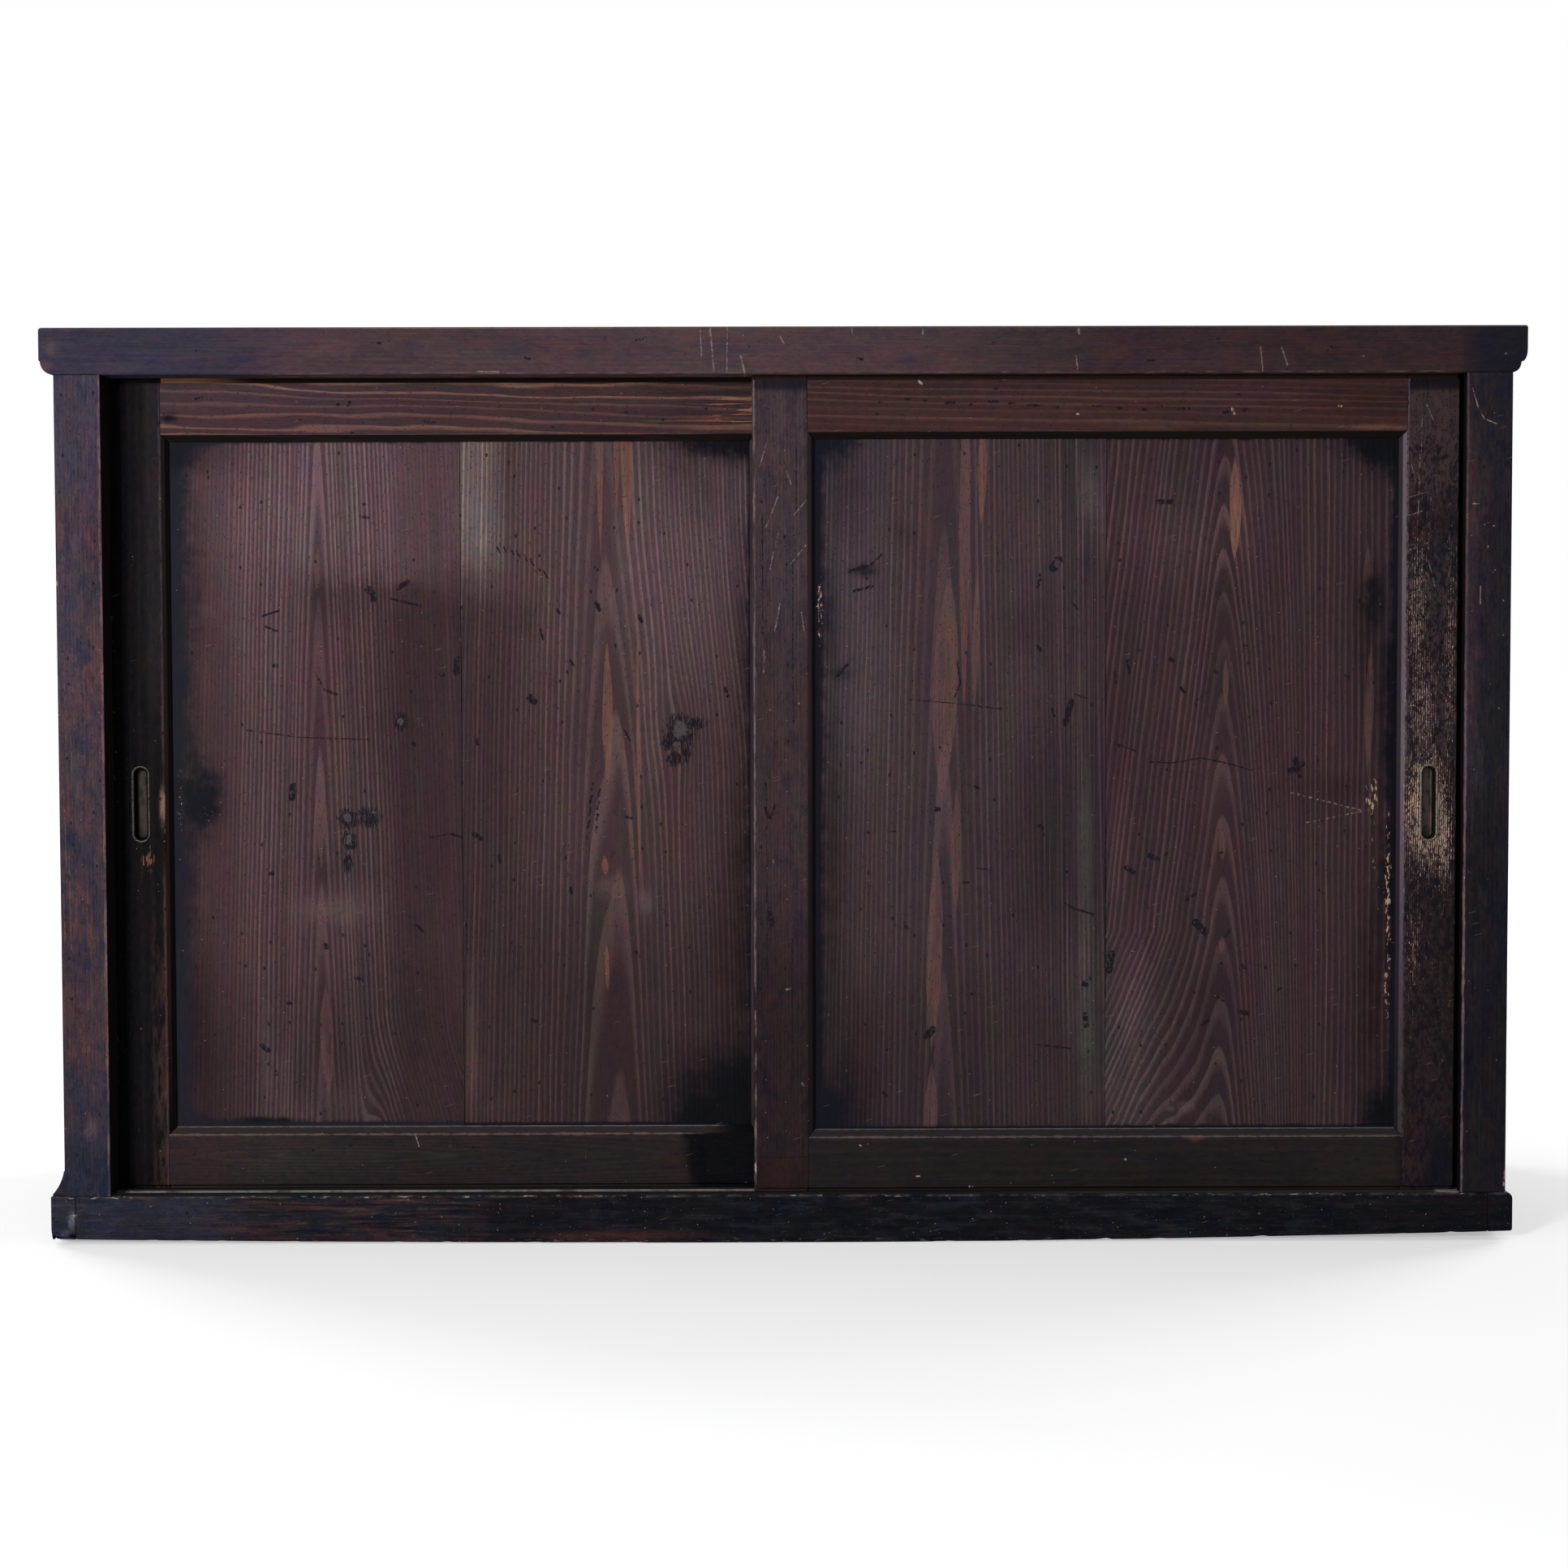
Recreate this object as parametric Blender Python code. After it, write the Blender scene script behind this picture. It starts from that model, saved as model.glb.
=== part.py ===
# Low cedar chest with two sliding panelled doors.
#
# The case is posts and boards standing on a plinth under a moulded top. Two doors slide past each
# other in tracks ploughed into the plinth's front rail, the sill, and into the top's front board, the
# head. A door is a mortised frame with mitred inner chamfers round a panel of two lapped boards.
# Metres, +Z up, front towards -Y, origin under the middle of the chest.

import math

import bmesh
import bpy
from mathutils import Vector

# Overall sizes
overall_width = 1.212
overall_depth = 0.400
overall_height = 0.752
base_height = 0.040
top_thickness = 0.038
end_overhang = 0.0115
right_base_overhang = 0.0060

# Clearances and cutting
seam = 0.0003
overrun = 0.005
arris = 0.0010

# Posts and side boards
post_width = 0.038
front_post_depth = 0.060
rear_post_depth = 0.040
side_board_thickness = 0.020
side_tongue_thickness = 0.008
side_tongue_length = 0.006
tongue_end_gap = 0.0006
post_tenon_thickness = 0.010
post_tenon_inset = 0.008
post_tenon_shoulder = 0.010
foot_tenon_length = 0.020
head_tenon_length = 0.015

# Top boards and their moulded ends
top_front_board_depth = 0.180
top_tongue_thickness = 0.010
top_tongue_length = 0.008
left_ovolo_height = 0.0110
left_quirk = 0.0005
left_nose_width = 0.0006
left_nose_height = 0.0010
left_top_round = 0.0025
right_ovolo_height = 0.0085
right_quirk = 0.0005
right_nose_width = 0.0046
right_nose_height = 0.0100
right_top_round = 0.0020
moulding_steps = 6

# Plinth
front_rail_depth = 0.075
side_rail_width = 0.050
side_rail_end_shown = 0.0205
back_rail_depth = 0.030
rail_tenon_thickness = 0.012
rail_tenon_length = 0.018
left_rail_top_round = 0.0008
left_rail_bottom_round = 0.0050
right_rail_top_round = 0.0055
right_rail_bottom_round = 0.0020
cove_height = 0.0205
cove_lip = 0.0010
cove_sag = 0.0016
cove_setback = 0.0040

# Floor, back and shelf
floor_thickness = 0.012
floor_ledge = 0.0065
bearer_width = 0.030
bearer_height = 0.018
bearer_reach_share = 0.72
back_board_thickness = 0.009
back_board_count = 6
back_lap_height = 0.012
back_rebate_width = 0.010
board_lap = 0.008
shelf_thickness = 0.015
shelf_height_above_sill = 0.338
shelf_door_clearance = 0.006
cleat_thickness = 0.020
cleat_height = 0.022
back_cleat_depth = 0.018
shelf_rail_depth = 0.020
shelf_rail_height = 0.028

# Tracks
front_lip = 0.012
door_gap = 0.0025
track_play = 0.0004
sill_groove_depth = 0.002
head_groove_depth = 0.013
jamb_groove_depth = 0.005
jamb_play = 0.0006

# Doors
door_overlap = 0.0487
door_thickness = 0.020
handle_stile_width = 0.042
meeting_stile_width = 0.045
rail_width = 0.042
bottom_shoulder_gap = 0.0034
top_shoulder_gap = 0.0044
tongue_thickness = 0.009
head_engagement = 0.009
chamfer_width = 0.006
chamfer_depth = 0.007
chamfer_quirk = 0.001
panel_thickness = 0.007
panel_tongue_length = 0.006
panel_edge_gap = 0.0008
panel_lap = 0.008
door_tenon_length = 0.026
door_tenon_shoulder = 0.005
batten_width = 0.028
batten_thickness = 0.0042
batten_place_share = 0.27
left_door_stop_gap = 0.0045
right_door_standoff = 0.0032

# Finger pulls
pull_width = 0.0150
pull_height = 0.0640
pull_corner_width = 0.0045
pull_corner_height = 0.0055
pull_inset = 0.0225
pull_rim_width = 0.0013
pull_metal = 0.0008
pull_depth = 0.0085
pull_draft = 0.0006
pull_height_above_sill = 0.322

# Places worked out from the sizes
half_width = overall_width / 2
front_y = -overall_depth / 2
back_y = overall_depth / 2
side_face = half_width - end_overhang
side_inner = side_face - side_board_thickness
opening_half = side_face - post_width
head_z = overall_height - top_thickness
right_base_end = side_face + right_base_overhang
left_rail_inner = -half_width + side_rail_width
right_rail_inner = right_base_end - side_rail_width
front_rail_back = front_y + front_rail_depth
back_rail_front = back_y - back_rail_depth
front_post_back = front_y + front_post_depth
rear_post_front = back_y - rear_post_depth
floor_bottom = base_height - floor_thickness
back_board_front = back_y - back_board_thickness
track_pitch = door_thickness + door_gap
front_track_y = front_y + front_lip + door_thickness / 2
rear_track_y = front_track_y + track_pitch
doors_back = rear_track_y + door_thickness / 2
shelf_front = doors_back + shelf_door_clearance
shelf_top = base_height + shelf_height_above_sill
shelf_bottom = shelf_top - shelf_thickness
cleat_inner = side_inner - seam - cleat_thickness
door_base_z = base_height + bottom_shoulder_gap
door_height = head_z - top_shoulder_gap - door_base_z
bottom_tongue = bottom_shoulder_gap + sill_groove_depth - seam
top_tongue = top_shoulder_gap + head_engagement
panel_groove_front = chamfer_depth + chamfer_quirk
panel_groove_width = panel_thickness + 2 * seam
panel_groove_depth = panel_tongue_length + panel_edge_gap
left_door_x = -opening_half - jamb_groove_depth + left_door_stop_gap
right_door_end = opening_half - right_door_standoff
door_width = (right_door_end - left_door_x + door_overlap) / 2
right_door_x = right_door_end - door_width

# Wood and metal colours
top_colour = (0.060, 0.036, 0.038)
post_colour = (0.040, 0.030, 0.038)
plinth_colour = (0.030, 0.026, 0.034)
rail_colour = (0.085, 0.040, 0.030)
panel_colour = (0.082, 0.050, 0.048)
inside_colour = (0.210, 0.130, 0.080)
back_colour = (0.240, 0.160, 0.100)
iron_colour = (0.120, 0.115, 0.095)
wood_roughness = 0.62
inside_roughness = 0.80
iron_roughness = 0.48


def clear_scene():
    """Removes whatever the open file holds."""
    for thing in list(bpy.data.objects):
        bpy.data.objects.remove(thing, do_unlink=True)


def finish_material(name, colour, roughness, metallic=0.0):
    """A Principled material in one colour."""
    material = bpy.data.materials.new(name)
    material.use_nodes = True
    shader = material.node_tree.nodes["Principled BSDF"]
    shader.inputs["Base Color"].default_value = (*colour, 1.0)
    shader.inputs["Roughness"].default_value = roughness
    shader.inputs["Metallic"].default_value = metallic
    return material


def wood(thing, colour, roughness=wood_roughness):
    """Gives a piece its own wood material."""
    thing.data.materials.append(finish_material(thing.name + "_wood", colour, roughness))
    return thing


def add_object(name, mesh, parent=None):
    """Links a mesh as an object, on the world or on a door's empty."""
    thing = bpy.data.objects.new(name, mesh)
    bpy.context.scene.collection.objects.link(thing)
    thing.parent = parent
    return thing


def prism(name, outline, axis, low, high, parent=None):
    """A flat outline pushed along one axis. The outline holds the other two coordinates in order."""
    place = {
        "X": lambda u, v, w: (w, u, v),
        "Y": lambda u, v, w: (u, w, v),
        "Z": lambda u, v, w: (u, v, w),
    }[axis]
    shape = bmesh.new()
    lower = [shape.verts.new(place(u, v, low)) for u, v in outline]
    upper = [shape.verts.new(place(u, v, high)) for u, v in outline]
    shape.faces.new(lower)
    shape.faces.new(upper)
    for a in range(len(outline)):
        b = (a + 1) % len(outline)
        shape.faces.new((lower[a], lower[b], upper[b], upper[a]))
    bmesh.ops.recalc_face_normals(shape, faces=shape.faces)
    mesh = bpy.data.meshes.new(name)
    shape.to_mesh(mesh)
    shape.free()
    return add_object(name, mesh, parent)


def rectangle(u_low, u_high, v_low, v_high):
    """The four corners of a rectangle, in order."""
    return [(u_low, v_low), (u_high, v_low), (u_high, v_high), (u_low, v_high)]


def block(name, x, y, z, parent=None):
    """A plain board between three pairs of limits."""
    return prism(name, rectangle(*x, *y), "Z", *z, parent)


def tool(thing):
    """Hides a cutter, which stays in the file for its Boolean."""
    thing.hide_render = True
    thing.display_type = "WIRE"
    return thing


def combine(thing, other, operation):
    """Joins, cuts or trims a piece by a hidden tool."""
    modifier = thing.modifiers.new(other.name, "BOOLEAN")
    modifier.operation = operation
    modifier.solver = "EXACT"
    modifier.object = tool(other)
    return thing


def cut(thing, other):
    """Takes the tool away from the piece."""
    return combine(thing, other, "DIFFERENCE")


def trim(thing, other):
    """Keeps only what lies inside the tool."""
    return combine(thing, other, "INTERSECT")


def join(thing, other):
    """Adds the tool to the piece."""
    return combine(thing, other, "UNION")


def arc(centre, radii, start, end, steps):
    """Points on part of an ellipse, angles in degrees."""
    points = []
    for step in range(steps + 1):
        angle = math.radians(start + (end - start) * step / steps)
        points.append((centre[0] + radii[0] * math.cos(angle), centre[1] + radii[1] * math.sin(angle)))
    return points


def hollow_curve(start, end, sag, steps):
    """Points from start to end on a shallow parabola that bows to the left of the way there."""
    along = Vector(end) - Vector(start)
    side = Vector((-along.y, along.x)).normalized()
    points = []
    for step in range(steps + 1):
        share = step / steps
        point = Vector(start) + along * share + side * (4 * sag * share * (1 - share))
        points.append(tuple(point))
    return points


def post_tenon_plan(side, post_low, post_high):
    """The limits of a post's stub tenon in plan, on the left (-1) or right (1)."""
    inner = side * (opening_half + post_tenon_inset)
    outer = side * (opening_half + post_tenon_inset + post_tenon_thickness)
    y = (post_low + post_tenon_shoulder, post_high - post_tenon_shoulder)
    return (min(inner, outer), max(inner, outer)), y


def widened(limits, clearance):
    """A pair of limits moved apart by a clearance."""
    return limits[0] - clearance, limits[1] + clearance


def mortise_posts(board, post_low, post_high, z, sides=(-1, 1)):
    """Cuts the holes for post tenons into a board."""
    for side in sides:
        x, y = post_tenon_plan(side, post_low, post_high)
        word = "left" if side < 0 else "right"
        cut(board, block(f"{board.name}_mortise_{word}", widened(x, seam), widened(y, seam), z))


def back_recess(board):
    """Cuts the rebate that the back boards lie in."""
    reach = opening_half + back_rebate_width
    y = (back_board_front - seam, back_y + overrun)
    z = (base_height - back_lap_height, head_z + back_lap_height)
    cut(board, block(board.name + "_back_rebate", (-reach, reach), y, z))


def floor_recess(board):
    """Cuts the ledge that the floor boards lie on."""
    x = (left_rail_inner - floor_ledge, right_rail_inner + floor_ledge)
    y = (front_rail_back - floor_ledge, back_rail_front + floor_ledge)
    cut(board, block(board.name + "_floor_rebate", x, y, (floor_bottom, base_height + overrun)))


def top_end(side, ovolo_height, quirk, nose_width, nose_height, top_round):
    """The moulded end of the top from its underside to its upper face: ovolo, quirk, nose, round."""
    ovolo_width = end_overhang - quirk - nose_width
    ovolo = arc((side_face, head_z + ovolo_height), (ovolo_width, ovolo_height), -90, 0, moulding_steps)
    nose_base = (half_width - nose_width, head_z + ovolo_height + nose_height)
    nose = arc(nose_base, (nose_width, nose_height), -90, 0, moulding_steps)
    corner = (half_width - top_round, overall_height - top_round)
    crown = arc(corner, (top_round, top_round), 0, 90, moulding_steps)
    return [(side * x, z) for x, z in ovolo + nose + crown]


def top_outline():
    """The top seen from the front."""
    left = top_end(-1, left_ovolo_height, left_quirk, left_nose_width, left_nose_height, left_top_round)
    right = top_end(1, right_ovolo_height, right_quirk, right_nose_width, right_nose_height, right_top_round)
    return left + right[::-1]


def make_top():
    """Two boards, tongued together, with moulded ends, upper tracks and post mortises."""
    joint_y = front_y + top_front_board_depth
    middle_z = head_z + top_thickness / 2
    reach = half_width + overrun
    groove_half = top_tongue_thickness / 2 + seam
    groove_end = joint_y - top_tongue_length - tongue_end_gap
    front_section = [
        (front_y + arris, head_z),
        (joint_y, head_z),
        (joint_y, middle_z - groove_half),
        (groove_end, middle_z - groove_half),
        (groove_end, middle_z + groove_half),
        (joint_y, middle_z + groove_half),
        (joint_y, overall_height),
        (front_y + arris, overall_height),
        (front_y, overall_height - arris),
        (front_y, head_z + arris),
    ]
    front = prism("top_board_front", front_section, "X", -reach, reach)
    trim(front, prism("top_front_end_shape", top_outline(), "Y", front_y - overrun, joint_y + overrun))
    groove_reach = opening_half + jamb_groove_depth + seam
    for name, track_y in (("front", front_track_y), ("rear", rear_track_y)):
        half = tongue_thickness / 2 + track_play
        y = (track_y - half, track_y + half)
        z = (head_z - overrun, head_z + head_groove_depth)
        cut(front, block(f"head_groove_{name}", (-groove_reach, groove_reach), y, z))
    head_hole = (head_z - overrun, head_z + head_tenon_length + tongue_end_gap)
    mortise_posts(front, front_y, front_post_back, head_hole)
    wood(front, top_colour)

    tongue_half = top_tongue_thickness / 2
    rear_front = joint_y + seam
    rear_section = [
        (rear_front, head_z),
        (back_y, head_z),
        (back_y, overall_height - arris),
        (back_y - arris, overall_height),
        (rear_front, overall_height),
        (rear_front, middle_z + tongue_half),
        (joint_y - top_tongue_length, middle_z + tongue_half),
        (joint_y - top_tongue_length, middle_z - tongue_half),
        (rear_front, middle_z - tongue_half),
    ]
    rear = prism("top_board_rear", rear_section, "X", -reach, reach)
    rear_shape = (joint_y - top_tongue_length - overrun, back_y + overrun)
    trim(rear, prism("top_rear_end_shape", top_outline(), "Y", *rear_shape))
    mortise_posts(rear, rear_post_front, back_y, head_hole)
    back_recess(rear)
    wood(rear, top_colour)


def side_tongue_limits(clearance):
    """The depth of the side boards' tongues below the outer face, for the right side."""
    middle = side_face - side_board_thickness / 2
    half = side_tongue_thickness / 2 + clearance
    return middle - half, middle + half


def front_post_plan(jamb_track_y):
    """A front post from above, for the right side, with its door groove and board groove."""
    low, high = side_tongue_limits(seam)
    slot_end = front_post_back - side_tongue_length - tongue_end_gap
    groove_half = door_thickness / 2 + jamb_play
    groove_floor = opening_half + jamb_groove_depth
    return [
        (opening_half, front_y),
        (side_face - arris, front_y),
        (side_face, front_y + arris),
        (side_face, front_post_back),
        (high, front_post_back),
        (high, slot_end),
        (low, slot_end),
        (low, front_post_back),
        (opening_half, front_post_back),
        (opening_half, jamb_track_y + groove_half),
        (groove_floor, jamb_track_y + groove_half),
        (groove_floor, jamb_track_y - groove_half),
        (opening_half, jamb_track_y - groove_half),
    ]


def rear_post_plan():
    """A rear post from above, for the right side, with its board groove."""
    low, high = side_tongue_limits(seam)
    slot_end = rear_post_front + side_tongue_length + tongue_end_gap
    return [
        (opening_half, rear_post_front),
        (low, rear_post_front),
        (low, slot_end),
        (high, slot_end),
        (high, rear_post_front),
        (side_face, rear_post_front),
        (side_face, back_y - arris),
        (side_face - arris, back_y),
        (opening_half, back_y),
    ]


def add_post_tenons(post, side, post_low, post_high):
    """Stub tenons into the plinth below and the top above."""
    x, y = post_tenon_plan(side, post_low, post_high)
    foot_z = (base_height - foot_tenon_length, base_height + overrun)
    head_tenon_z = (head_z - overrun, head_z + head_tenon_length)
    join(post, block(post.name + "_foot_tenon", x, y, foot_z))
    join(post, block(post.name + "_head_tenon", x, y, head_tenon_z))


def make_posts():
    """Four corner posts. A door closes into the front ones."""
    z = (base_height + seam, head_z - seam)
    for side, word, track_y in ((-1, "left", rear_track_y), (1, "right", front_track_y)):
        plan = [(side * x, y) for x, y in front_post_plan(track_y)]
        post = prism(word + "_front_post", plan, "Z", *z)
        add_post_tenons(post, side, front_y, front_post_back)
        wood(post, post_colour)
        plan = [(side * x, y) for x, y in rear_post_plan()]
        post = prism(word + "_rear_post", plan, "Z", *z)
        add_post_tenons(post, side, rear_post_front, back_y)
        back_recess(post)
        wood(post, post_colour)


def side_board_plan(front_edge, back_edge, groove_behind):
    """A side board from above, for the right side: tongue in front, tongue or groove behind."""
    low, high = side_tongue_limits(0.0)
    points = [
        (side_inner, front_edge),
        (low, front_edge),
        (low, front_edge - side_tongue_length - seam),
        (high, front_edge - side_tongue_length - seam),
        (high, front_edge),
        (side_face, front_edge),
        (side_face, back_edge),
    ]
    if groove_behind:
        low, high = side_tongue_limits(seam)
        tip = back_edge - side_tongue_length - tongue_end_gap
    else:
        tip = back_edge + side_tongue_length + seam
    return points + [(high, back_edge), (high, tip), (low, tip), (low, back_edge), (side_inner, back_edge)]


def make_side_boards():
    """Two upright boards between the posts on each side."""
    middle = (front_post_back + rear_post_front) / 2
    z = (base_height + seam, head_z - seam)
    for side, word in ((-1, "left"), (1, "right")):
        plan = side_board_plan(front_post_back + seam, middle, True)
        board = prism(word + "_side_board_front", [(side * x, y) for x, y in plan], "Z", *z)
        wood(board, post_colour)
        plan = side_board_plan(middle + seam, rear_post_front - seam, False)
        board = prism(word + "_side_board_rear", [(side * x, y) for x, y in plan], "Z", *z)
        wood(board, post_colour)


def side_rail_section(side, outer, top_round, bottom_round):
    """A plinth side rail from the front, rounded on its outer edges."""
    inner = outer - side_rail_width
    low = arc((outer - bottom_round, bottom_round), (bottom_round, bottom_round), -90, 0, moulding_steps)
    high = arc((outer - top_round, base_height - top_round), (top_round, top_round), 0, 90, moulding_steps)
    return [(side * x, z) for x, z in [(inner, 0.0)] + low + high + [(inner, base_height)]]


def make_side_rail(side, word, outer, top_round, bottom_round):
    """A plinth side rail, lapped at its front end so that part of its end grain shows."""
    section = side_rail_section(side, outer, top_round, bottom_round)
    rail = prism(f"plinth_{word}_rail", section, "Y", front_y, back_y)
    shown = outer - side_rail_end_shown
    x = sorted((side * shown, side * (outer - side_rail_width - overrun)))
    y = (front_y - overrun, front_rail_back + seam)
    cut(rail, block(f"plinth_{word}_lap", x, y, (-overrun, base_height + overrun)))
    inner = outer - side_rail_width
    tenon_half = rail_tenon_thickness / 2
    back_middle = (back_rail_front + back_board_front) / 2
    hole_x = sorted((side * (inner - overrun), side * (inner + rail_tenon_length + tongue_end_gap)))
    hole_y = widened((back_middle - tenon_half, back_middle + tenon_half), seam)
    cut(rail, block(f"plinth_{word}_rail_mortise", hole_x, hole_y, widened(back_rail_tenon_z(), seam)))
    foot_hole = (base_height - foot_tenon_length - tongue_end_gap, base_height + overrun)
    mortise_posts(rail, rear_post_front, back_y, foot_hole, (side,))
    floor_recess(rail)
    back_recess(rail)
    wood(rail, plinth_colour)


def back_rail_tenon_z():
    """The height of the back rail's tenons, kept below the floor and the post feet."""
    return rail_tenon_thickness / 2, base_height - foot_tenon_length - rail_tenon_thickness / 4


def make_front_rail():
    """The plinth's front rail, which is the sill with the two lower tracks."""
    half = tongue_thickness / 2 + track_play
    groove_floor = base_height - sill_groove_depth
    section = [
        (front_y + arris, 0.0),
        (front_rail_back, 0.0),
        (front_rail_back, base_height),
        (rear_track_y + half, base_height),
        (rear_track_y + half, groove_floor),
        (rear_track_y - half, groove_floor),
        (rear_track_y - half, base_height),
        (front_track_y + half, base_height),
        (front_track_y + half, groove_floor),
        (front_track_y - half, groove_floor),
        (front_track_y - half, base_height),
        (front_y + arris, base_height),
        (front_y, base_height - arris),
        (front_y, arris),
    ]
    left = -half_width + side_rail_end_shown + seam
    right = right_base_end - side_rail_end_shown - seam
    rail = prism("plinth_front_rail", section, "X", left, right)
    foot_hole = (base_height - foot_tenon_length - tongue_end_gap, base_height + overrun)
    mortise_posts(rail, front_y, front_post_back, foot_hole)
    floor_recess(rail)
    wood(rail, plinth_colour)


def make_back_rail():
    """The plinth's back rail, tenoned between the side rails."""
    x = (left_rail_inner + seam, right_rail_inner - seam)
    rail = block("plinth_back_rail", x, (back_rail_front, back_y), (0.0, base_height))
    floor_recess(rail)
    back_recess(rail)
    tenon_half = rail_tenon_thickness / 2
    back_middle = (back_rail_front + back_board_front) / 2
    y = (back_middle - tenon_half, back_middle + tenon_half)
    reach = rail_tenon_length - seam
    for word, end, side in (("left", x[0], -1), ("right", x[1], 1)):
        tenon_x = sorted((end - side * overrun, end + side * reach))
        join(rail, block(f"plinth_back_tenon_{word}", tenon_x, y, back_rail_tenon_z()))
    wood(rail, plinth_colour)


def make_cove():
    """The cove strip in the corner between the left rail and the left side."""
    inner = -side_face - seam
    foot = base_height + seam
    outer = -half_width + left_rail_top_round
    crest = foot + cove_height
    hollow = hollow_curve((inner - cove_lip, crest), (outer, foot + cove_lip), cove_sag, moulding_steps)
    outline = [(inner, foot), (inner, crest)] + hollow + [(outer, foot)]
    strip = prism("plinth_left_cove", outline, "Y", front_y + cove_setback, back_y)
    wood(strip, plinth_colour)


def make_plinth():
    """Four rails under the case, and the cove strip on the left."""
    make_front_rail()
    make_side_rail(-1, "left", half_width, left_rail_top_round, left_rail_bottom_round)
    make_side_rail(1, "right", right_base_end, right_rail_top_round, right_rail_bottom_round)
    make_back_rail()
    make_cove()


def make_floor():
    """Two long floor boards on ledges in the plinth, with three bearers under them."""
    x = (left_rail_inner - floor_ledge + seam, right_rail_inner + floor_ledge - seam)
    low = front_rail_back - floor_ledge + seam
    high = back_rail_front + floor_ledge - seam
    middle = (low + high) / 2
    z = (floor_bottom + seam, base_height - seam)
    for word, y in (("front", (low, middle)), ("rear", (middle + seam, high))):
        wood(block(f"floor_board_{word}", x, y, z), inside_colour, inside_roughness)
    top = floor_bottom
    y = (front_rail_back + seam, back_rail_front - seam)
    reach = opening_half * bearer_reach_share
    for word, centre in (("left", -reach), ("middle", 0.0), ("right", reach)):
        span = (centre - bearer_width / 2, centre + bearer_width / 2)
        bearer = block(f"floor_bearer_{word}", span, y, (top - bearer_height, top))
        wood(bearer, inside_colour, inside_roughness)


def shiplap_plan(left, right, front, back, lap_left, lap_right):
    """A lapped board from above: the left edge laps in front, the right edge laps behind."""
    middle = (front + back) / 2
    points = [(left, front)]
    if lap_right:
        points += [(right - board_lap, front), (right - board_lap, middle + seam / 2)]
        points += [(right, middle + seam / 2), (right, back)]
    else:
        points += [(right, front), (right, back)]
    if lap_left:
        points += [(left + board_lap, back), (left + board_lap, middle - seam / 2), (left, middle - seam / 2)]
    else:
        points += [(left, back)]
    return points


def make_back():
    """Upright lapped boards in the rebate behind the case."""
    reach = opening_half + back_rebate_width - seam
    pitch = 2 * reach / back_board_count
    z = (base_height - back_lap_height + seam, head_z + back_lap_height - seam)
    for number in range(1, back_board_count + 1):
        first = number == 1
        last = number == back_board_count
        left = -reach + (number - 1) * pitch
        right = left + pitch
        left += 0.0 if first else seam
        right += 0.0 if last else board_lap
        plan = shiplap_plan(left, right, back_board_front, back_y, not first, not last)
        wood(prism(f"back_board_{number}", plan, "Z", *z), back_colour, inside_roughness)


def make_shelf():
    """A two-board shelf on cleats, notched round the rear posts."""
    back = back_board_front - seam
    reach = side_inner - seam
    notch_x = opening_half - seam
    notch_y = rear_post_front - seam
    middle = (shelf_front + back) / 2
    front_board = block("shelf_board_front", (-reach, reach), (shelf_front, middle), (shelf_bottom, shelf_top))
    wood(front_board, inside_colour, inside_roughness)
    plan = [
        (-reach, middle + seam),
        (reach, middle + seam),
        (reach, notch_y),
        (notch_x, notch_y),
        (notch_x, back),
        (-notch_x, back),
        (-notch_x, notch_y),
        (-reach, notch_y),
    ]
    rear_board = prism("shelf_board_rear", plan, "Z", shelf_bottom, shelf_top)
    wood(rear_board, inside_colour, inside_roughness)
    under = shelf_bottom - seam
    cleat_y = (front_post_back + seam, rear_post_front - seam)
    for side, word in ((-1, "left"), (1, "right")):
        x = sorted((side * (side_inner - seam), side * cleat_inner))
        cleat = block(f"shelf_{word}_cleat", x, cleat_y, (under - cleat_height, under))
        wood(cleat, inside_colour, inside_roughness)
    across = (-cleat_inner + seam, cleat_inner - seam)
    rail_y = (shelf_front, shelf_front + shelf_rail_depth)
    rail = block("shelf_front_rail", across, rail_y, (under - shelf_rail_height, under))
    wood(rail, inside_colour, inside_roughness)
    cleat = block("shelf_back_cleat", across, (back - back_cleat_depth, back), (under - cleat_height, under))
    wood(cleat, inside_colour, inside_roughness)


def door_edge_section():
    """A door seen from its edge: full thickness between the shoulders, tongues above and below."""
    shoulder = (door_thickness - tongue_thickness) / 2
    far = door_thickness - shoulder
    return [
        (0.0, 0.0),
        (shoulder, 0.0),
        (shoulder, -bottom_tongue),
        (far, -bottom_tongue),
        (far, 0.0),
        (door_thickness, 0.0),
        (door_thickness, door_height),
        (far, door_height),
        (far, door_height + top_tongue),
        (shoulder, door_height + top_tongue),
        (shoulder, door_height),
        (0.0, door_height),
    ]


def member_inner_edge(face_width):
    """Chamfer, quirk and panel groove along a frame member's inner edge, as (distance in, depth)."""
    inner = face_width + chamfer_width
    groove_floor = inner - panel_groove_depth
    groove_back = panel_groove_front + panel_groove_width
    return [
        (face_width, 0.0),
        (inner, chamfer_depth),
        (inner, panel_groove_front),
        (groove_floor, panel_groove_front),
        (groove_floor, groove_back),
        (inner, groove_back),
        (inner, door_thickness),
    ]


def tenon_depth():
    """The limits of the rail tenons in the door's thickness, in line with the panel."""
    return panel_groove_front + seam, panel_groove_front + seam + panel_thickness


def tenon_heights():
    """The limits of the bottom and the top rail's tenons in the door's height."""
    bottom = (door_tenon_shoulder, rail_width - door_tenon_shoulder)
    top = (door_height - rail_width + door_tenon_shoulder, door_height - door_tenon_shoulder)
    return (("bottom", bottom), ("top", top))


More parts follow.
